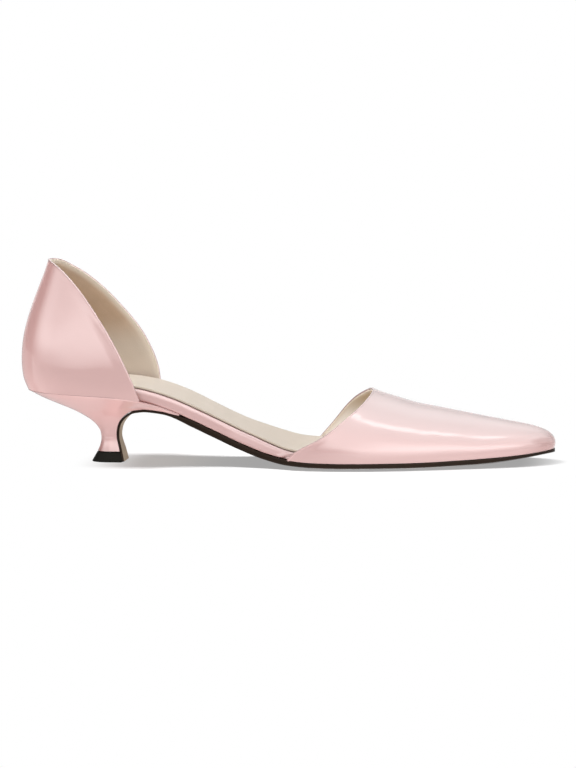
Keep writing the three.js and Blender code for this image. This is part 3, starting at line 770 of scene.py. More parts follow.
@dataclass
class ToplineFold:
    """The rim of a topline, where the patent leather is turned over a tape and shows as a thin round fold.

    Geometry Nodes sweep it along the topline."""

    last: Last
    radius: float = 0.62
    sides: int = 20

    def tree(self, material: bpy.types.Material) -> bpy.types.NodeTree:
        """The node group: a line of points becomes a curve, and a circle is swept along it."""
        group = bpy.data.node_groups.new("topline_fold", "GeometryNodeTree")
        group.interface.new_socket("Geometry", in_out="INPUT", socket_type="NodeSocketGeometry")
        group.interface.new_socket("Radius", in_out="INPUT", socket_type="NodeSocketFloat")
        group.interface.new_socket("Sides", in_out="INPUT", socket_type="NodeSocketInt")
        group.interface.new_socket("Geometry", in_out="OUTPUT", socket_type="NodeSocketGeometry")
        given = add_node(group, "NodeGroupInput")
        line = add_node(group, "GeometryNodeMeshToCurve", {"Mesh": given.outputs["Geometry"]})
        ring = add_node(
            group,
            "GeometryNodeCurvePrimitiveCircle",
            {"Resolution": given.outputs["Sides"], "Radius": given.outputs["Radius"]},
        )
        swept = add_node(
            group,
            "GeometryNodeCurveToMesh",
            {"Curve": line.outputs[0], "Profile Curve": ring.outputs[0], "Fill Caps": True},
        )
        smooth = add_node(group, "GeometryNodeSetShadeSmooth", {"Geometry": swept.outputs[0]})
        real = add_node(group, "GeometryNodeRealizeInstances", {"Geometry": smooth.outputs[0]})
        dressed = add_node(
            group, "GeometryNodeSetMaterial", {"Geometry": real.outputs[0], "Material": material}
        )
        add_node(group, "NodeGroupOutput", {"Geometry": dressed.outputs[0]})
        return group

    def build(self, name: str, path: Array, material: bpy.types.Material) -> None:
        """Makes the fold along a path in the shoe's frame."""
        points = self.last.place(path)
        line = bpy.data.meshes.new(name + "_line")
        line.from_pydata(points.tolist(), [(i, i + 1) for i in range(len(points) - 1)], [])
        draft = bpy.data.objects.new(name + "_draft", line)
        bpy.context.scene.collection.objects.link(draft)
        modifier = draft.modifiers.new("fold", "NODES")
        modifier.node_group = self.tree(material)
        sizes = {"Radius": self.radius * MM, "Sides": self.sides}
        for socket in modifier.node_group.interface.items_tree:
            if socket.in_out == "INPUT" and socket.name in sizes:
                modifier[socket.identifier] = sizes[socket.name]
        view = bpy.context.evaluated_depsgraph_get()
        mesh = bpy.data.meshes.new_from_object(draft.evaluated_get(view), depsgraph=view)
        bpy.data.objects.remove(draft)
        mesh.name = name
        made = bpy.data.objects.new(name, mesh)
        bpy.context.scene.collection.objects.link(made)
        show(made, "patent_leather")


def edge_flare(grid: Array, flare: float, reach: float) -> Array:
    """How far the leather stands out towards its first row, where the turned edge under it is thick."""
    down = np.linalg.norm(grid - grid[:1], axis=-1)
    return flare * (1 - ease(down, 0, reach))


def fold_path(grid: Array, normals: Array, leather: float) -> Array:
    """The middle of a turned edge: half the leather's depth in from the first row, and a little below it."""
    return grid[0] - normals[0] * leather / 2 + unit(grid[2] - grid[0]) * FOLD_DROP


@dataclass(frozen=True)
class Dent:
    """A soft trough or ridge in the leather, placed one by one.

    x, y and z are its middle, and long and short its half length and half width. height is how far the
    leather stands out, below zero for a trough, and turn the degrees by which its length climbs to the toe.
    """

    x: float
    y: float
    z: float
    long: float
    short: float
    height: float
    turn: float = 0.0

    def at(self, points: Array) -> Array:
        """How far it lifts each point."""
        angle = math.radians(self.turn)
        dx, dy, dz = points[..., 0] - self.x, points[..., 1] - self.y, points[..., 2] - self.z
        along = dx * math.cos(angle) + dz * math.sin(angle)
        across = -dx * math.sin(angle) + dz * math.cos(angle)
        away = (along / self.long) ** 2 + (across / self.short) ** 2 + (dy / (2 * self.long)) ** 2
        return self.height * np.exp(-away)


@dataclass
class Upper:
    """A part of the lasted upper: patent leather over its lining, with a thin fold along its topline."""

    last: Last
    leather: float = 0.95
    lining_start: float = 1.0
    # how far down from the topline the lining's rim colour, painted light, reaches
    turned: float = 2.0
    crisp_degrees: float = 70.0

    def dress(
        self,
        name: str,
        grid: Array,
        normals: Array,
        roll: Array,
        leather: bpy.types.Material,
        lining: bpy.types.Material,
    ) -> None:
        """Makes the leather, the fold and the lining.

        Args:
            name: The CAD node that they stand for.
            grid: Points of the outer face, row by row from the topline.
            normals: Unit normals there, outwards.
            roll: Unit directions out over the topline, one for each column.
            leather: The finish of the leather and the fold.
            lining: The finish of the lining.
        """
        points, faces = leather_layer(grid, normals, 0.0, self.leather, roll)
        outer = solid_object(f"{name}_leather", self.last, points, faces, leather, self.crisp_degrees)
        show(outer, "patent_leather", name)
        fold = ToplineFold(self.last)
        fold.build(f"{name}_topline_fold", fold_path(grid, normals, self.leather), leather)
        points, faces = leather_layer(grid, normals, self.lining_start, self.last.wall, roll)
        # the lining's lighter rim colour along the topline is painted light
        tone = turned_share(grid, self.turned)
        inner = solid_object(f"{name}_lining", self.last, points, faces, lining, self.crisp_degrees, tone)
        show(inner, "lining_leather")


@dataclass
class Vamp(Upper):
    """The vamp: one piece of patent leather over the toes, its lining, and its rolled throat."""

    throat_rise: float = 32.8
    toe_rise: float = 14.2
    toe_fall: float = 18.0
    toe_turn: float = 50.0
    swell: float = 1.6
    swell_peak: float = 0.65
    ridge_shift: float = 3.0
    flare: float = 0.22
    flare_reach: float = 5.0
    settle: float = 0.2
    settle_share: float = 0.02
    rows: int = 150
    columns: int = 180
    fade_rows: int = 8
    dents: tuple[Dent, ...] = (
        Dent(x=197, y=4, z=30, long=9, short=5, height=-0.35),
        Dent(x=183, y=-22, z=20, long=16, short=5, height=0.22, turn=-14),
        Dent(x=172, y=-30, z=14, long=18, short=5, height=-0.25, turn=-12),
        Dent(x=214, y=-16, z=16, long=14, short=5, height=0.15, turn=-8),
        Dent(x=179, y=-27, z=23.8, long=2.2, short=4, height=-0.12),
        Dent(x=202.5, y=-23.6, z=19.4, long=3, short=4.5, height=-0.2),
        Dent(x=212, y=-21.3, z=18.4, long=2.2, short=4, height=-0.15),
        Dent(x=230, y=-17, z=17, long=9, short=5, height=-0.42),
    )

    # along, rise (0 the toe box's, 1 the throat's), share of the ridge's sideways shift
    RIDGE = (
        (0.48, 1.74, 1.3),
        (0.56, 1.45, 1.2),
        (0.6, 1.26, 1.1),
        (0.653, 1, 1),
        (0.68, 0.875, 0.9),
        (0.715, 0.735, 0.75),
        (0.741, 0.64, 0.65),
        (0.772, 0.54, 0.5),
        (0.81, 0.415, 0.35),
        (0.86, 0.255, 0.2),
        (0.898, 0.13, 0.1),
        (0.935, 0, 0),
    )

    # around (0 the outer feather edge, 1 the inner one), along
    THROAT = (
        (0, 0.512),
        (0.035, 0.532),
        (0.08, 0.567),
        (0.165, 0.61),
        (0.25, 0.637),
        (0.34, 0.654),
        (0.43, 0.661),
        (0.5, 0.66),
        (0.58, 0.652),
        (0.67, 0.637),
        (0.75, 0.616),
        (0.835, 0.592),
        (0.92, 0.565),
        (0.965, 0.547),
        (1, 0.534),
    )

    def ridge(self, station: Array) -> Array:
        """The top of the section at a station. Round the toe the sections fan out from the toe box's top."""
        last = self.last
        foot_x = last.x_at(last.along_at(station))
        turned = np.maximum(0, (foot_x - (last.length - self.toe_turn)) / self.toe_turn)
        x = foot_x - self.toe_fall * turned**2
        along = last.along_of(x)
        there = last.station_at(along)
        middle = (last.half_width(there, 1) - last.half_width(there, -1)) / 2
        rise = mix(self.toe_rise, self.throat_rise, self._rise(along))
        return np.stack([x, middle + self.ridge_shift * self._shift(along), last.height(x) + rise], -1)

    def __post_init__(self) -> None:
        """Prepares the curves of the tables."""
        self._rise = natural(column(self.RIDGE, 0), column(self.RIDGE, 1))
        self._shift = natural(column(self.RIDGE, 0), column(self.RIDGE, 2))
        self._throat = natural(column(self.THROAT, 0), column(self.THROAT, 1))

    def surface(self, station: Array, around: Array) -> Array:
        """Points of the vamp's outer face at stations and shares of the way round its sections."""
        last = self.last
        side = np.where(around < 0.5, -1, 1)
        turn = np.minimum(around, 1 - around) * math.pi
        foot_x, foot_y = last.edge(station, side)
        in_x, in_y = last.edge(station, side, 1.0)
        step = 0.01
        ridge = self.ridge(station)
        before = self.ridge(station - step)
        inward = 1 - np.cos(turn)
        swell = self.swell * np.sin(2 * turn) * np.cos(turn) ** 2 / self.swell_peak
        slope = (ridge[..., 2] - before[..., 2]) / (ridge[..., 0] - before[..., 0])
        settle = slope * (ridge[..., 0] - foot_x) * (1 - inward) * inward**2
        foot_z = last.height(foot_x) + last.clearance
        return np.stack(
            [
                mix(foot_x, ridge[..., 0], inward) + (foot_x - in_x) * swell,
                mix(foot_y, ridge[..., 1], inward) + (foot_y - in_y) * swell,
                mix(foot_z, ridge[..., 2], np.sin(turn)) - settle,
            ],
            -1,
        )

    def face(self) -> tuple[Array, Array, Array]:
        """The outer face's grid of points, its normals, and the directions out over the throat."""
        around = np.linspace(0, 1, self.columns + 1)
        start = self.last.station_at(self._throat(around))
        down = np.linspace(0, 1, self.rows + 1)[:, None]
        shares = np.broadcast_to(around, (self.rows + 1, len(around)))
        grid = self.surface(mix(start[None, :], 1.0, down), shares)
        normals = grid_normals(grid)
        lift = sum(dent.at(grid) for dent in self.dents)
        edge = ease(np.arange(self.rows + 1), 0, self.fade_rows)[:, None]
        lift = lift * edge + edge_flare(grid, self.flare, self.flare_reach)
        low = 1 - ease(np.minimum(around, 1 - around), 0, self.settle_share)
        lift *= 1 - low
        grid = grid + normals * lift[..., None]
        grid[..., 2] -= self.settle * low
        normals = grid_normals(grid)
        run = unit(np.gradient(grid[0], axis=0))
        roll = unit(np.cross(run, normals[0]))
        roll *= np.sign(np.sum(roll * (grid[0] - grid[1]), -1, keepdims=True))
        return grid, normals, roll

    def build(self, leather: bpy.types.Material, lining: bpy.types.Material) -> None:
        """Makes the leather, the lining and the rolled throat."""
        grid, normals, roll = self.face()
        level = normals.copy()
        level[:, 0, 2] = 0
        level[:, -1, 2] = 0
        self.dress("vamp", grid, unit(level), roll, leather, lining)


@dataclass
class Counter(Upper):
    """The counter: a tall pointed piece of patent leather round the heel, its lining and its topline."""

    height: float = 64.2
    peak_lean: float = 11.1
    end: float = 62.6
    end_inner: float = 65.4
    # the counter lining's rim colour, painted light, reaches further down
    turned: float = 3.6
    flare: float = 0.45
    flare_reach: float = 5.5
    flare_from: tuple[float, float] = (24.0, 40.0)
    settle: float = 0.2
    settle_share: float = 0.04
    rows: int = 90
    half_columns: int = 100
    fade_rows: int = 6
    fade_foot: float = 0.12
    edge_samples: int = 1200
    edge_passes: int = 12
    dents: tuple[Dent, ...] = (
        Dent(x=34, y=-26, z=62, long=16, short=13, height=-0.5, turn=60),
        Dent(x=22, y=-26, z=46, long=26, short=5, height=0.25),
        Dent(x=44, y=-28, z=74, long=14, short=4, height=0.2, turn=-50),
    )

    # a place in the heel cup, from which the faces look away
    INSIDE = (35.0, 0.0, 0.0)

    # height, bulge, lean and width of the level sections, as shares of the counter's sizes
    SECTIONS = (
        (0, 0, 0, 1),
        (0.06, 0.56, 0, 1.03),
        (0.13, 0.85, 0, 1.05),
        (0.215, 0.98, 0, 1.06),
        (0.3, 1, 0.02, 1.05),
        (0.42, 0.88, 0.08, 1.01),
        (0.535, 0.62, 0.175, 0.955),
        (0.68, 0.3, 0.375, 0.86),
        (0.82, 0.1, 0.64, 0.755),
        (0.935, 0.02, 0.88, 0.66),
        (1, 0, 1, 0.6),
    )

    # reach from the peak to the front corner, height on the outer side, height on the inner side
    EDGE = (
        (0, 1, 1),
        (0.07, 0.976, 0.99),
        (0.17, 0.932, 0.948),
        (0.27, 0.869, 0.899),
        (0.38, 0.788, 0.831),
        (0.5, 0.681, 0.744),
        (0.62, 0.56, 0.641),
        (0.72, 0.447, 0.549),
        (0.81, 0.332, 0.455),
        (0.88, 0.229, 0.358),
        (0.94, 0.13, 0.253),
        (0.975, 0.056, 0.158),
        (1, 0, 0),
    )

    def __post_init__(self) -> None:
        """Prepares the curves of the tables."""
        share = column(self.SECTIONS, 0)
        self._bulge = natural(share, column(self.SECTIONS, 1))
        self._lean = natural(share, column(self.SECTIONS, 2))
        self._width = natural(share, column(self.SECTIONS, 3))
        self._still = self.end_inner + self.peak_lean

    def reach(self, share: Array) -> Array:
        """What a height leaves of a feather edge point's distance from the counter's still front."""
        bulge = self.last.back_bulge
        back = bulge * (1 - self._bulge(share)) + self.peak_lean * self._lean(share)
        return (self._still - back) / (self._still - bulge)

    def point(self, station: Array, side: Array, height: Array) -> Array:
        """Points over feather edge stations, at heights above the feather edge."""
        foot_x, foot_y = self.last.edge(station, side)
        share = height / self.height
        x = self._still - (self._still - foot_x) * self.reach(share)
        z = self.last.height(foot_x) + self.last.clearance + height
        return np.stack([x, foot_y * self._width(share), z], -1)

    def topline(self, side: Side) -> tuple[Array, Array]:
        """Stations and heights of the topline on one side, evenly spaced from the peak to the corner."""
        last = self.last
        index = 1 if side is Side.LATERAL else 2
        rise = steady(column(self.EDGE, 0), column(self.EDGE, index))
        end = self.end if side is Side.LATERAL else self.end_inner
        top = last.height(last.back_bulge) + self.height
        reach = np.linspace(0, 1, self.edge_samples + 1) ** 2
        x = mix(last.back_bulge + self.peak_lean, end, reach)
        z = mix(last.height(end), top, rise(reach))
        foot_x = x
        for _ in range(self.edge_passes):
            share = (z - last.height(foot_x)) / self.height
            foot_x = self._still - (self._still - x) / self.reach(share)
        height = np.maximum(0, z - last.height(foot_x))
        station = last.station_at(last.along_of(foot_x))
        station[0] = 0
        height[-1] = 0
        places = self.point(station, side.value, height)
        walked = np.concatenate([[0], np.cumsum(np.linalg.norm(np.diff(places, axis=0), axis=1))])
        goals = np.linspace(0, walked[-1], self.half_columns + 1)
        return np.interp(goals, walked, station), np.interp(goals, walked, height)

    def face(self) -> tuple[Array, Array, Array]:
        """The outer face's points from the topline down, their normals, and the ways over the topline."""
        up = np.linspace(1, 0, self.rows + 1)[:, None]
        halves = []
        for side in (Side.LATERAL, Side.MEDIAL):
            station, height = self.topline(side)
            foot = station[-1] * np.linspace(0, 1, self.half_columns + 1)
            halves.append(self.point(mix(foot[None], station[None], up), side.value, height[None] * up))
        grid = np.concatenate([halves[0][:, ::-1], halves[1][:, 1:]], axis=1)
        normals = self.outwards(grid)
        lift = sum(dent.at(grid) for dent in self.dents)
        edge = ease(np.arange(self.rows + 1), 0, self.fade_rows)[:, None] * ease(up, 0, self.fade_foot)
        tall = ease(np.linalg.norm(grid[0] - grid[-1], axis=-1), 0, 2 * self.flare_reach)
        tall *= ease(grid[0, :, 0], *self.flare_from)
        lift = lift * edge + edge_flare(grid, self.flare, self.flare_reach) * tall
        grid = grid + normals * lift[..., None]
        grid[..., 2] -= self.settle * (1 - ease(up, 0, self.settle_share))
        normals = self.outwards(grid)
        run = unit(np.gradient(grid[0], axis=0))
        roll = unit(np.cross(run, normals[0]))
        roll *= np.where(roll[:, 2:] < 0, -1, 1)
        return grid, normals, roll

    @staticmethod
    def outwards(grid: Array) -> Array:
        """Unit normals of the grid, away from the foot. The two front corners are single points."""
        normals = grid_normals(grid)
        away = (grid - np.array(Counter.INSIDE)) * (1, 1, 0)
        normals *= np.sign(np.sum(normals * away, -1, keepdims=True) + 1e-12)
        for corner, near in ((0, 1), (-1, -2)):
            normals[:, corner] = unit(normals[:, near].mean(0))
        return unit(normals)

    def build(self, leather: bpy.types.Material, lining: bpy.types.Material) -> None:
        """Makes the leather, the lining and the rolled topline."""
        grid, normals, roll = self.face()
        normals[-1, :, 2] = 0
        self.dress("counter", grid, unit(normals), roll, leather, lining)


def loft_faces(rings: int, count: int) -> list[tuple[int, ...]]:
    """Quads between closed rings, and a ladder of quads over the first and the last ring."""
    faces = list(strip_faces(rings, count, closed=True))
    last = (rings - 1) * count
    for i in range(count // 2 - 1):
        near, far = i, count - 1 - i
        faces.append((near, far, far - 1, near + 1))
        faces.append((last + near, last + near + 1, last + far - 1, last + far))
    return faces


def tongue(share: Array) -> Array:
    """How wide a tongue is at shares of its length, round behind and at its full width from there on."""
    return np.sqrt(1 - (1 - np.minimum(1, share / TONGUE_ROUND)) ** 2)


def tongue_ring(back: float, front: float, half: float, height: float, steps: int) -> Array:
    """A level tongue-shaped ring, from its back round the outer side to the front, and home again."""
    share = 1 - np.cos(np.linspace(0, math.pi / 2, steps + 1))
    reach = half * tongue(share)
    x = mix(back, front, share)
    z = np.full_like(x, height)
    outer = np.stack([x, -reach, z], -1)
    inner = np.stack([x, reach, z], -1)
    return np.concatenate([outer, inner[::-1]])


@dataclass
class Insole:
    """The wrapped insole board and the sock on top of it."""

    last: Last
    counter: Counter
    thickness: float = 5.6
    forepart: float = 3.8
    thins: tuple[float, float] = (0.43, 0.53)
    roll: float = 1.4
    release: float = 20.0
    sock_thickness: float = 0.75
    sock_margin: float = 1.0
    # how far in, in sock thicknesses, the painted shade along the sock's edge reaches: full to the first, none
    # from the second
    sock_edge_shade: tuple[float, float] = (0.1, 0.6)
    stations: int = 480
    pleats: tuple[Dent, ...] = (
        Dent(x=133.9, y=-30, z=5.5, long=3.2, short=0.42, height=-0.85, turn=20),
        Dent(x=133.6, y=-30, z=6.7, long=3.6, short=0.7, height=0.3, turn=18),
        Dent(x=134.6, y=-30, z=4.2, long=2.4, short=0.32, height=-0.5, turn=12),
    )
    refine: int = 6
    crisp_degrees: float = 70.0

    # inward in rolls, up in the board's thickness
    SECTION = (
        (0.36, 0),
        (0.08, 0.08),
        (0, 0.2),
        (0, 0.45),
        (0, 0.66),
        (0.06, 0.78),
        (0.2, 0.88),
        (0.42, 0.945),
        (0.7, 0.985),
        (1, 1),
        (1.6, 1.004),
        (3, 1),
        (5, 1),
    )

    # inward in sock thicknesses, up in the sock's thickness
    SOCK = ((0, 0), (0, 0.5), (0.08, 0.78), (0.25, 0.94), (0.5, 1), (2, 1), (8, 1))

    @property
    def inset(self) -> float:
        """From the feather edge to the wrapped edge."""
        return self.last.wall + 2 * self.last.clearance

    def board_thickness(self, station: Array) -> Array:
        """The board's thickness, which falls off under the toes."""
        along = self.last.along_at(station)
        return mix(self.thickness, self.forepart, ease(along, *self.thins))

    def inner_edge(self, station: Array, side: Array, height: Array, inset: float) -> tuple[Array, Array]:
        """X and Y on the upper's inner face at a height, or over the feather edge where the shoe is open."""
        foot_x, foot_y = self.last.edge(station, side)
        held_x, held_y = self.last.edge(station, side, inset)
        under = 1 - ease(foot_x, self.counter.end - self.release, self.counter.end)
        wall = self.counter.point(station, side, np.maximum(0, height))
        return held_x + (wall[..., 0] - foot_x) * under, held_y + (wall[..., 1] - foot_y) * under

    def board(self, inset: float, low: Array, high: Array, section: Sequence, scale: float) -> Array:
        """Rings of a board that lies in the upper, from low to high over the feather edge."""
        station = np.linspace(0, 1, self.stations + 1)
        ends = (station <= 0) | (station >= 1)
        rings = []
        for side in (Side.MEDIAL, Side.LATERAL):
            path = []
            for inward, up in section:
                above = mix(low, high, up)
                edge_x, edge_y = self.inner_edge(station, side.value, above, inset)
                x, z = self.last.over(edge_x, above)
                reach = np.where(ends, 0, np.maximum(0, np.abs(edge_y) - inward * scale))
                path.append(np.stack([x, side.value * reach, z], -1))
            rings.extend(path if side is Side.MEDIAL else path[::-1])
        return np.stack(rings, 1)

    def build(self, wrap: bpy.types.Material, lining: bpy.types.Material) -> None:
        """Makes the wrapped board and the sock."""
        station = np.linspace(0, 1, self.stations + 1)
        clearance = self.last.clearance
        thick = self.board_thickness(station)
        steps = np.arange(len(self.SECTION))
        finer = np.linspace(0, steps[-1], steps[-1] * self.refine + 1)
        section = [tuple(np.interp(finer, steps, column(self.SECTION, k))) for k in (0, 1)]
        rings = self.board(self.inset, clearance, clearance + thick, list(zip(*section)), self.roll)
        rings[..., 1] -= sum(pleat.at(rings) for pleat in self.pleats)
        faces = loft_faces(*rings.shape[:2])
        points = rings.reshape(-1, 3)
        board = solid_object("insole_wrap", self.last, points, faces, wrap, self.crisp_degrees)
        show(board, "patent_leather", "insole")
        low = thick + 2 * clearance
        rings = self.board(
            self.inset + self.sock_margin, low, low + self.sock_thickness, self.SOCK, self.sock_thickness
        )
        faces = loft_faces(*rings.shape[:2])
        inward = column(self.SOCK, 0)
        # painted shade along the sock's edge: where the sock's darker rim colour is laid
        edge_shade = np.tile(np.interp(np.concatenate([inward, inward[::-1]]), self.sock_edge_shade, (1, 0)), len(rings))
        points = rings.reshape(-1, 3)
        sock = solid_object("sock_lining", self.last, points, faces, lining, self.crisp_degrees, edge_shade)
        show(sock, "lining_leather", "sock")


class CatmullRom:
    """A centripetal Catmull-Rom curve through points, as the part's source draws the heel breast."""

    def __init__(self, points: Sequence[Sequence[float]]) -> None:
        """Keeps the points, with one more in line beyond each end."""
        points = np.array(points, float)
        first = 2 * points[0] - points[1]
        final = 2 * points[-1] - points[-2]
        self.points = np.concatenate([[first], points, [final]])

    def at(self, share: Array) -> Array:
        """Points at shares of the way, each span taking an equal share."""
        share = np.atleast_1d(np.asarray(share, float))
        spans = len(self.points) - 3
        i = np.clip(np.floor(share * spans).astype(int), 0, spans - 1)
        t = (share * spans - i)[:, None]
        p = [self.points[i + k] for k in range(4)]
        d = [np.maximum(np.linalg.norm(p[k + 1] - p[k], axis=1) ** 0.5, 1e-4)[:, None] for k in range(3)]
        t1 = (p[1] - p[0]) / d[0] - (p[2] - p[0]) / (d[0] + d[1]) + (p[2] - p[1]) / d[1]
        t2 = (p[2] - p[1]) / d[1] - (p[3] - p[1]) / (d[1] + d[2]) + (p[3] - p[2]) / d[2]
        t1, t2 = t1 * d[1], t2 * d[1]
        c2 = -3 * p[1] + 3 * p[2] - 2 * t1 - t2
        c3 = 2 * p[1] - 2 * p[2] + t1 + t2
        return p[1] + t1 * t + c2 * t**2 + c3 * t**3

    def tangent(self, share: Array) -> Array:
        """Unit directions along the curve."""
        step = 1e-4
        share = np.atleast_1d(np.asarray(share, float))
        return unit(self.at(np.clip(share + step, 0, 1)) - self.at(np.clip(share - step, 0, 1)))


@dataclass
class TopPiece:
    """The rubber top piece under the heel."""

    last: Last
    height: float = 5.1
    length: float = 17.5
    width: float = 14.0
    back_flare: float = 3.0
    side_flare: float = 1.1
    bevel: float = 0.35
    flap_room: float = 1.2
    steps: int = 40
    crisp_degrees: float = 25.0

    back = 34.3

    @property
    def front(self) -> float:
        """X of its front on the floor."""
        return self.back + self.length

    def build(self, rubber: bpy.types.Material) -> None:
        """Makes the top piece, with small bevels round both faces."""
        half = self.width / 2
        rings = []
        bevel = self.bevel
        for down, inset in ((0, bevel), (bevel, 0), (self.height - bevel, 0), (self.height, bevel)):
            share = down / self.height
            back = self.back + self.back_flare * (1 - share) + inset
            front = self.front - self.flap_room - self.side_flare * (1 - share) - inset
            reach = half - self.side_flare * (1 - share) - inset
            rings.append(tongue_ring(back, front, reach, self.height - down, self.steps))
        grid = np.stack(rings)
        faces = loft_faces(*grid.shape[:2])
        points = grid.reshape(-1, 3)
        made = solid_object("top_piece_rubber_block", self.last, points, faces, rubber, self.crisp_degrees)
        show(made, "top_piece_rubber", "top_piece")


@dataclass
class Heel:
    """The covered kitten heel and the leather outsole that runs down its breast."""

    last: Last
    insole: Insole
    counter: Counter
    top_piece: TopPiece
    neck_x: float = 43.65
    neck_length: float = 8.7
    neck_width: float = 8.4
    neck_height: float = 12.2
    lip_end: float = 82.0
    lip_blend: float = 7.0
    lip_lead: float = 5.0
    seat_tuck: float = 12.0
    flap_thickness: float = 1.1
    edge_lift: float = 1.1
    waist_thickness: float = 3.1
    toe_thickness: float = 1.6
    toe_taper: float = 38.0
    flap_foot: float = 0.3
    lip_closes: tuple[float, float] = (54.0, 72.0)
    sole_margin: float = 0.3
    sole_widens: tuple[float, float] = (0.46, 0.56)
    side_steps: int = 48
    rings: int = 90
    flare_rings: int = 24
    sole_stations: int = 260
    flap_stations: int = 110
    crisp_degrees: float = 40.0

    # forward to the lip's end, share of the feather edge's height, share of the waist's half width
    BREAST = (
        (1, 0.968, 0.97),
        (0.87, 0.935, 0.95),
        (0.75, 0.912, 0.915),
        (0.62, 0.885, 0.86),
        (0.48, 0.853, 0.77),
        (0.365, 0.817, 0.665),
        (0.26, 0.777, 0.545),
        (0.165, 0.715, 0.42),
        (0.085, 0.64, 0.32),
        (0.03, 0.553, 0.245),
        (0.004, 0.457, 0.205),
    )

    # front (share of the way down the breast line), back, down, width, seat
    SECTIONS = (
        (0, 0.03, 0.022, 0.985, 0.97),
        (0.1, 0.17, 0.14, 0.9, 0.84),
        (0.2, 0.385, 0.285, 0.765, 0.62),
        (0.32, 0.61, 0.43, 0.605, 0.38),
        (0.43, 0.755, 0.545, 0.475, 0.2),
        (0.55, 0.875, 0.665, 0.36, 0.08),
        (0.68, 0.95, 0.78, 0.275, 0.02),
        (0.83, 0.99, 0.895, 0.215, 0),
        (1, 1, 1, 0.19, 0),
    )

    # out (share of the half width), down (share of the thickness), share of the edge's rise, ink
    SOLE = (
        (0.985, 0, 0, 1),
        (0.996, 0.05, 0.4, 1),
        (1, 0.14, 1, 1),
        (1, 0.42, 1, 1),
        (0.997, 0.66, 1, 1),
        (0.988, 0.86, 1, 1),
        (0.975, 0.96, 1, 0.9),
        (0.955, 1, 1, 0),
        (0.9, 1, 0.75, 0),
        (0.83, 1, 0.35, 0),
        (0.72, 1, 0.1, 0),
        (0.6, 1, 0, 0),
    )

    def __post_init__(self) -> None:
        """Prepares the breast line and the curves of the tables."""
        last, top = self.last, self.top_piece
        self._neck_front = self.neck_x + self.neck_length / 2
        self._neck_back = self.neck_x - self.neck_length / 2
        self._foot = top.height + last.clearance
        points = []
        for forward, height, width in self.BREAST:
            x = mix(self._neck_front, self.lip_end, forward)
            points.append((x, width * last.waist_width / 2, float(last.height(np.float64(x))) * height))
        points.append((self._neck_front, self.neck_width / 2, self.neck_height))
        points.append(
            (top.front - top.side_flare - self.flap_thickness, top.width / 2 - top.side_flare, self._foot)
        )
        points.append((top.front - self.flap_thickness, top.width / 2, self.flap_foot))
        self._breast = CatmullRom(points)
        self._neck_share = len(self.BREAST) / (len(points) - 1)
        self._foot_share = self._neck_share + 1 / (len(points) - 1)
        front = column(self.SECTIONS, 0)
        self._back, self._down, self._width, self._seat = [
            steady(front, column(self.SECTIONS, i)) for i in range(1, 5)
        ]

    def breast(self, share: Array, offset: Array, lowest: float) -> tuple[Array, Array, Array]:
        """X, Z and half width of places on the breast line, moved off it, into the heel where above zero."""
        p = self._breast.at(share)
        t = self._breast.tangent(share)
        run = np.hypot(t[:, 0], t[:, 2])
        z = p[:, 2] - offset * t[:, 0] / run
        return p[:, 0] + offset * t[:, 2] / run, np.maximum(z, lowest), p[:, 1]

    def seat_half(self, x: Array, side: int) -> Array:
        """Half width of the heel's seat, which draws in to the insole's edge in front of the counter."""
        end = self.counter.end
        tuck = self.insole.inset * ease(x, end, end + self.seat_tuck)
        station = self.last.station_at(self.last.along_of(x))
        _, y = self.last.edge(station, side, tuck)
        return np.where(x <= self.last.back_bulge, 0, np.abs(y))

    def section(self, back: tuple, front: tuple, width: float, seat: float) -> Array:
        """A ring between (x, z) of its back and (x, z, half) of its front, that keeps a share of the seat."""
        last = self.last
        share = 1 - np.cos(np.linspace(0, math.pi / 2, self.side_steps + 1))
        seat_x = mix(last.back_bulge, self.lip_end, share)
        ends = last.height(np.array([last.back_bulge, self.lip_end]))
        crown = last.height(seat_x) - mix(ends[0], ends[1], share)
        rounded = tongue(share)
        halves = []
        for side in (-1, 1):
            lip = self.seat_half(np.array([self.lip_end]), side)[0]
            shape = mix(rounded, self.seat_half(seat_x, side) / lip, seat)
            half = shape * mix(width * lip, front[2], share**2)
            z = mix(back[1], front[1], share) + crown * seat
            halves.append(np.stack([mix(back[0], front[0], share), side * half, z], -1))
        return np.concatenate([halves[0], halves[1][::-1]])

    def cover(self) -> Array:
        """The rings of the heel, from its seat to its foot."""
        last, top = self.last, self.top_piece
        seat_back = float(last.height(np.float64(last.back_bulge)))
        lip_height = float(last.height(np.float64(self.lip_end)))
        lip = (self.lip_end, lip_height, self.breast(0.0, 0.0, self._foot)[2][0])
        rings = [self.section((last.back_bulge, seat_back), lip, 1, 1)]
        rings[0][:, 2] += (last.clearance - SEAM) * ease(rings[0][:, 0], *self.lip_closes)
        for way in np.linspace(0, 1, self.rings + 1):
            back = (
                mix(last.back_bulge, self._neck_back, self._back(way)),
                mix(seat_back, self.neck_height, self._down(way)),
            )
            x, z, half = self.breast(way * self._neck_share, last.clearance, self._foot)
            rings.append(self.section(back, (x[0], z[0], half[0]), self._width(way), self._seat(way)))
        foot_half = self.breast(self._foot_share, 0.0, self._foot)[2][0]
        for way in np.linspace(0, 1, self.flare_rings + 1)[1:]:
            x, _, _ = self.breast(mix(self._neck_share, self._foot_share, way), last.clearance, self._foot)
            back = mix(self._neck_back, top.back + top.back_flare, way**2)
            half = mix(self.neck_width / 2, foot_half, way**2)
            height = mix(self.neck_height, self._foot, way)
            rings.append(tongue_ring(back, x[0], half, height, self.side_steps))
        return np.stack(rings)

    def sole_ring(self, top: tuple, bottom: tuple, outer: float, inner: float, lift: float) -> Array:
        """One section across the outsole, between (x, z) of its top and of its underside."""
        halves = []
        for edge in (outer, inner):
            path = []
            for out, down, lifted, _ in self.SOLE:
                down *= 1 - lift * lifted
                path.append((mix(top[0], bottom[0], down), edge * out, mix(top[1], bottom[1], down)))
            halves.append(path)
        return np.array(halves[0] + halves[1][::-1])

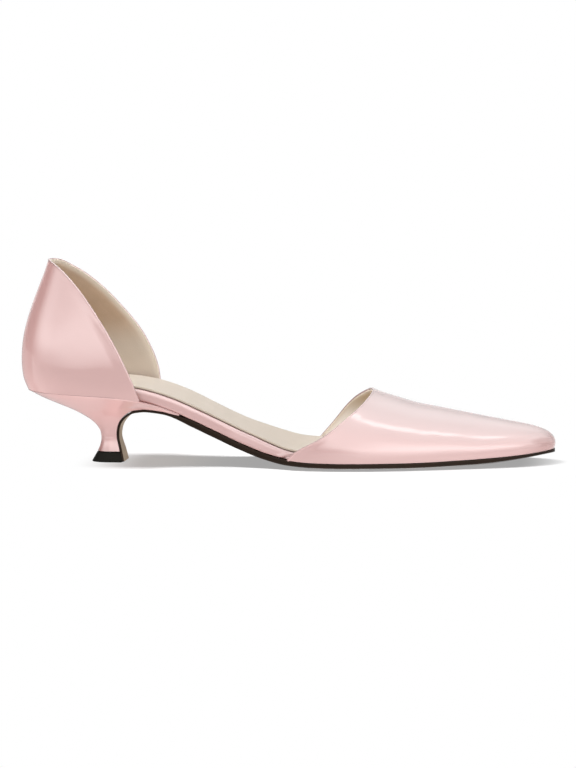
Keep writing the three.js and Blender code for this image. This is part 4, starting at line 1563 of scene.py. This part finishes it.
    def sole(self) -> Array:
        """The rings of the outsole, from the toe over the shank and down the heel breast."""
        last = self.last
        inset = self.insole.inset
        start = last.station_at(last.along_of(self.lip_end + self.lip_lead))
        rings = []
        for way in np.linspace(1, 0, self.sole_stations + 1):
            station = mix(start, 1, way)
            x = last.x_at(last.along_at(station))
            open_up = ease(last.along_of(x), *self.sole_widens)
            edge_x, outer = last.edge(station, -1, mix(inset, -self.sole_margin, open_up))
            _, inner = last.edge(station, 1, mix(inset, -self.sole_margin, open_up))
            thick = self.sole_thickness(x)
            lift = self.edge_lift / last.outsole_thickness * open_up
            top, bottom = last.over(edge_x, 0.0), last.over(edge_x, -thick)
            rings.append(self.sole_ring(top, bottom, float(outer), float(inner), float(lift)))
        for way in np.linspace(0, 1, self.flap_stations + 1):
            x, z, half = self.breast(way, 0.0, self.flap_foot)
            far_x, far_z, _ = self.breast(way, -self.sole_thickness(x[0]), self.flap_foot)
            rings.append(self.sole_ring((x[0], z[0]), (far_x[0], far_z[0]), -half[0], half[0], 0.0))
        return np.stack(rings)

    def sole_thickness(self, x: float) -> float:
        """The outsole's thickness, full under the ball and thin at the toe, the waist and the flap."""
        last = self.last
        shank = ease(x, self.lip_end - self.lip_blend, self.lip_end + self.lip_blend)
        toe = ease(x, last.length - self.toe_taper, last.length)
        full = mix(self.waist_thickness, last.outsole_thickness, ease(last.along_of(x), *self.sole_widens))
        return mix(self.flap_thickness, mix(full, self.toe_thickness, toe), shank)

    def build(self, cover: bpy.types.Material, sole: bpy.types.Material) -> None:
        """Makes the covered heel and the outsole."""
        rings = self.cover()
        faces = loft_faces(*rings.shape[:2])
        points = rings.reshape(-1, 3)
        made = solid_object("heel_cover", self.last, points, faces, cover, self.crisp_degrees)
        show(made, "heel_cover", "heel")
        rings = self.sole()
        faces = loft_faces(*rings.shape[:2])
        across = column(self.SOLE, 3)
        ink = np.tile(np.concatenate([across, across[::-1]]), (len(rings), 1))
        ink[: self.sole_stations] = 1
        points, tone = rings.reshape(-1, 3), ink.ravel()
        made = solid_object("outsole_leather", self.last, points, faces, sole, self.crisp_degrees, tone)
        show(made, "sole_leather", "outsole")


@dataclass(frozen=True)
class Softbox:
    """A soft area light that looks at the shoe. The lacquer shows the tent in its place."""

    name: str
    azimuth: float
    elevation: float
    distance: float
    width: float
    height: float
    watts: float
    only: tuple[str, ...] = ()


@dataclass(frozen=True)
class SoftStep:
    """A soft step of light along a direction, from low at start to high at end."""

    way: tuple[float, float, float]
    start: float
    end: float
    low: float
    high: float

    def light(self, tree: bpy.types.NodeTree, place: bpy.types.NodeSocket) -> bpy.types.NodeSocket:
        """Its value in a tree.

        Args:
            tree: The material or the world that shows it.
            place: The place there, or the way looked at.

        Returns:
            The socket that gives the value.
        """
        goal = tuple(unit(np.array(self.way, float)))
        along = add_node(tree, "ShaderNodeVectorMath", {0: place, 1: goal}, operation="DOT_PRODUCT")
        step = add_node(
            tree,
            "ShaderNodeMapRange",
            {0: along.outputs["Value"], 1: self.start, 2: self.end, 3: self.low, 4: self.high},
            interpolation_type="SMOOTHSTEP",
        )
        return step.outputs[0]


@dataclass(frozen=True)
class Pane:
    """A round patch in the tent: the way to it, its spread in radians, and the light it adds or takes."""

    way: tuple[float, float, float]
    spread: float
    glow: float

    def light(self, tree: bpy.types.NodeTree, way: bpy.types.NodeSocket) -> bpy.types.NodeSocket:
        """Its light in the way looked at, most in its middle."""
        return SoftStep(self.way, math.cos(self.spread), 1.0, 0.0, self.glow).light(tree, way)


@dataclass
class Studio:
    """The floor, the lights and the camera."""

    last: Last
    azimuth: float = 7.45
    elevation: float = 6.1
    roll: float = -0.65
    distance: float = 1600.0
    look: tuple[float, float, float] = (133.3, 0.0, 38.7)
    lens: float = 151.875
    clip_end: float = 100.0
    aim_height: float = 0.03
    floor_size: float = 30.0
    backdrop: float = 1.0
    ambient: float = 0.1
    floor_near: float = 0.82
    floor_far: float = 1.15
    floor_glow: float = 0.36
    shaded_middle: tuple[float, float] = (0.022, 0.0)
    shaded_half: tuple[float, float] = (0.112, 0.12)
    floor_white: float = 0.55
    table: float = 1.87
    # the table as the lacquer shows it: from heel to toe, dimmer behind the shoe, and more in front of the toe
    table_shine: SoftStep = SoftStep(ALONG, -0.03, 0.06, 1.35, 2.6)
    table_shade: SoftStep = SoftStep(ACROSS, -0.03, 0.0, 1.0, 0.35)
    table_toe: SoftStep = SoftStep(ALONG, -0.03, 0.06, 0.0, 1.2)
    table_front: SoftStep = SoftStep(ACROSS, -0.14, -0.04, 1.0, 0.0)
    # the tent as the lacquer shows it: multiplied steps behind the shoe and in front of it, how the one turns
    # into the other, and its roof
    tent_back: tuple[SoftStep, ...] = (
        SoftStep(UP, 0.3, 0.95, 1.0, 4.0),
        SoftStep((1.0, 0.25, 0.0), -0.8, -0.2, 0.0, 1.0),
    )
    tent_front: tuple[SoftStep, ...] = (
        SoftStep(UP, 0.3, 0.95, 5.0, 5.5),
        SoftStep(UP, 0.0, 0.24, 0.45, 1.0),
        SoftStep((1.0, 0.13, 0.3), 0.88, 0.975, 1.0, 0.5),
    )
    tent_facing: SoftStep = SoftStep((0.35, -1.0, 0.0), -0.47, 0.28, 0.0, 1.0)
    tent_roof: SoftStep = SoftStep(UP, 0.85, 1.0, 0.0, 0.6)
    panes: tuple[Pane, ...] = (
        Pane((0.25, -0.07, 0.96), 0.16, 3.2),
        Pane((0.5, -0.85, 0.05), 0.62, 2.3),
        Pane((-0.55, -0.55, 0.62), 0.5, -1.8),
    )
    softboxes: tuple[Softbox, ...] = (
        Softbox("overhead", azimuth=0, elevation=88, distance=1.3, width=0.6, height=0.5, watts=5.6),
        Softbox(
            "heel_fill",
            azimuth=-105,
            elevation=12,
            distance=1.5,
            width=0.8,
            height=0.8,
            watts=16,
            only=("counter_leather",),
        ),
        Softbox(
            "throat_fill",
            azimuth=-35,
            elevation=25,
            distance=1.5,
            width=0.5,
            height=0.5,
            watts=8,
            only=("vamp_lining",),
        ),
        Softbox(
            "table_spot",
            azimuth=-90,
            elevation=72,
            distance=1.3,
            width=0.35,
            height=0.35,
            watts=30,
            only=("floor",),
        ),
        Softbox(
            "inside_fill",
            azimuth=-10,
            elevation=60,
            distance=1.5,
            width=0.8,
            height=0.6,
            watts=14,
            only=("counter_lining", "vamp_lining", "sock_lining"),
        ),
    )

    def camera(self) -> None:
        """Sets the camera at the picture's angle."""
        a, e, r = (math.radians(v) for v in (self.azimuth, self.elevation, self.roll))
        forward = Vector((-math.sin(a) * math.cos(e), math.cos(a) * math.cos(e), -math.sin(e)))
        level = Vector((math.cos(a), math.sin(a), 0))
        up = level.cross(forward)
        right = level * math.cos(r) + up * math.sin(r)
        top = up * math.cos(r) - level * math.sin(r)
        target = Vector(self.last.place(np.array([self.look]))[0])
        eye = target - forward * self.distance * MM
        turn = Matrix((right, top, -forward)).transposed().to_4x4()
        data = bpy.data.cameras.new("camera")
        data.lens = self.lens
        data.clip_end = self.clip_end
        camera = bpy.data.objects.new("camera", data)
        camera.matrix_world = Matrix.Translation(eye) @ turn
        bpy.context.scene.collection.objects.link(camera)
        bpy.context.scene.camera = camera

    def lights(self) -> None:
        """Hangs the softboxes round the shoe. Azimuth 0 is in front of its outer side."""
        target = Vector((0, 0, self.aim_height))
        for box in self.softboxes:
            a, e = math.radians(box.azimuth), math.radians(box.elevation)
            way = Vector((math.sin(a) * math.cos(e), -math.cos(a) * math.cos(e), math.sin(e)))
            data = bpy.data.lights.new(box.name, "AREA")
            data.shape = "RECTANGLE"
            data.size, data.size_y, data.energy = box.width, box.height, box.watts
            light = bpy.data.objects.new(box.name, data)
            light.visible_camera = False
            light.visible_glossy = False
            if box.only:
                lit = bpy.data.collections.new(box.name + "_lights")
                for name in box.only:
                    lit.objects.link(bpy.data.objects[name])
                light.light_linking.receiver_collection = lit
            light.location = target + way * box.distance
            light.rotation_euler = (-way).to_track_quat("-Z", "Y").to_euler()
            bpy.context.scene.collection.objects.link(light)

    def surroundings(self) -> None:
        """A white backdrop for the camera and a dimmer room for the light, over a pale floor."""
        world = bpy.data.worlds.new("studio")
        world.use_nodes = True
        tree = world.node_tree
        tree.nodes.clear()
        path = add_node(tree, "ShaderNodeLightPath")
        white = (1, 1, 1, 1)
        room = add_node(tree, "ShaderNodeBackground", {"Color": white, "Strength": self.ambient})
        tent = add_node(tree, "ShaderNodeBackground", {"Color": white, "Strength": self.tent(tree)})
        seen = add_node(tree, "ShaderNodeBackground", {"Color": white, "Strength": self.backdrop})
        shader = room
        for ray, other in (("Is Glossy Ray", tent), ("Is Camera Ray", seen)):
            inputs = {0: path.outputs[ray], 1: shader.outputs[0], 2: other.outputs[0]}
            shader = add_node(tree, "ShaderNodeMixShader", inputs)
        add_node(tree, "ShaderNodeOutputWorld", {"Surface": shader.outputs[0]})
        bpy.context.scene.world = world
        mesh = bpy.data.meshes.new("floor")
        r = self.floor_size / 2
        mesh.from_pydata([(-r, -r, 0), (r, -r, 0), (r, r, 0), (-r, r, 0)], [], [(0, 1, 2, 3)])
        mesh.materials.append(self.floor_material())
        floor = bpy.data.objects.new("floor", mesh)
        bpy.context.scene.collection.objects.link(floor)

    def tent(self, tree: bpy.types.NodeTree) -> bpy.types.NodeSocket:
        """How bright the white tent round the table is in each direction, as the lacquer shows it."""
        way = add_node(tree, "ShaderNodeTexCoord").outputs["Generated"]
        sides = []
        for steps in (self.tent_back, self.tent_front):
            side = steps[0].light(tree, way)
            for step in steps[1:]:
                inputs = {0: side, 1: step.light(tree, way)}
                side = add_node(tree, "ShaderNodeMath", inputs, operation="MULTIPLY").outputs[0]
            sides.append(side)
        inputs = {0: self.tent_facing.light(tree, way), 2: sides[0], 3: sides[1]}
        light = add_node(tree, "ShaderNodeMix", inputs, data_type="FLOAT").outputs[0]
        for patch in (self.tent_roof, *self.panes):
            inputs = {0: light, 1: patch.light(tree, way)}
            light = add_node(tree, "ShaderNodeMath", inputs, operation="ADD").outputs[0]
        return light

    def floor_material(self) -> bpy.types.Material:
        """A frosted light table, exposed to white. The shoe's light from below and its reflections are the
        table's own, and the camera sees the shadows on it."""
        material, tree, place = new_material("studio_floor")
        white = (1.0, 1.0, 1.0, 1.0)
        pale = (self.floor_white, self.floor_white, self.floor_white, 1.0)
        paint = add_node(tree, "ShaderNodeBsdfDiffuse", {"Color": pale, "Roughness": 0.0})
        sweep = add_node(tree, "ShaderNodeEmission", {"Color": white, "Strength": self.backdrop})
        table = add_node(tree, "ShaderNodeEmission", {"Color": white, "Strength": self.table})
        inputs = {0: self.table_shine.light(tree, place), 1: self.table_shade.light(tree, place)}
        main_shine = add_node(tree, "ShaderNodeMath", inputs, operation="MULTIPLY")
        inputs = {
            0: self.table_toe.light(tree, place),
            1: self.table_front.light(tree, place),
            2: main_shine.outputs[0],
        }
        shining = add_node(tree, "ShaderNodeMath", inputs, operation="MULTIPLY_ADD")
        shine = add_node(tree, "ShaderNodeEmission", {"Color": white, "Strength": shining.outputs[0]})
        inputs = {0: place, 1: (*self.shaded_middle, 0.0)}
        moved = add_node(tree, "ShaderNodeVectorMath", inputs, operation="SUBTRACT")
        inputs = {0: moved.outputs[0], 1: (*self.shaded_half, 1.0)}
        scaled = add_node(tree, "ShaderNodeVectorMath", inputs, operation="DIVIDE")
        away = add_node(tree, "ShaderNodeVectorMath", {0: scaled.outputs[0]}, operation="LENGTH")
        share = add_node(
            tree,
            "ShaderNodeMapRange",
            {0: away.outputs["Value"], 1: self.floor_near, 2: self.floor_far, 3: self.floor_glow},
            interpolation_type="SMOOTHSTEP",
        )
        path = add_node(tree, "ShaderNodeLightPath")
        shader = paint
        for part, other in (
            (share.outputs[0], sweep),
            (path.outputs["Is Diffuse Ray"], table),
            (path.outputs["Is Glossy Ray"], shine),
        ):
            inputs = {0: part, 1: shader.outputs[0], 2: other.outputs[0]}
            shader = add_node(tree, "ShaderNodeMixShader", inputs)
        finish_material(tree, shader)
        material.cycles.emission_sampling = "NONE"
        return material

    def build(self) -> None:
        """Sets up the whole studio."""
        bpy.context.scene.view_settings.view_transform = "Standard"
        self.surroundings()
        self.lights()
        self.camera()


def main() -> None:
    """Builds the shoe's pieces in order, then the studio."""
    logging.basicConfig(level=logging.INFO, format="%(message)s")
    last = Last()
    patent = PatentLeather().make()
    cover = PatentLeather(name="heel_cover").make()
    # The linings' pale colours, low down, and their lighter rim colours are painted light.
    counter_lining = LiningLeather(
        "counter_lining_leather", "#d2b79c", "#b69b81", pale="#d3c5b5", rim="#e8dccb", painted_light_below_mm=(54, 72)
    ).make()
    vamp_lining = LiningLeather(
        "vamp_lining_leather", "#c6ad8a", "#b89d7a", pale="#f4ebe1", rim="#ddcfbd", painted_light_below_mm=(18, 32)
    ).make()
    # the sock's darker rim colour is painted shade along its edge
    sock = LiningLeather("sock_leather", "#dfd3c6", "#d6cabb", pale="#dfd3c6", rim="#b0a293").make()
    sole = SoleLeather().make()
    rubber = TopPieceRubber().make()
    Vamp(last).build(patent, vamp_lining)
    counter = Counter(last)
    counter.build(patent, counter_lining)
    insole = Insole(last, counter)
    insole.build(patent, sock)
    top_piece = TopPiece(last)
    Heel(last, insole, counter, top_piece).build(cover, sole)
    top_piece.build(rubber)
    Studio(last).build()


if __name__ == "__main__":
    main()
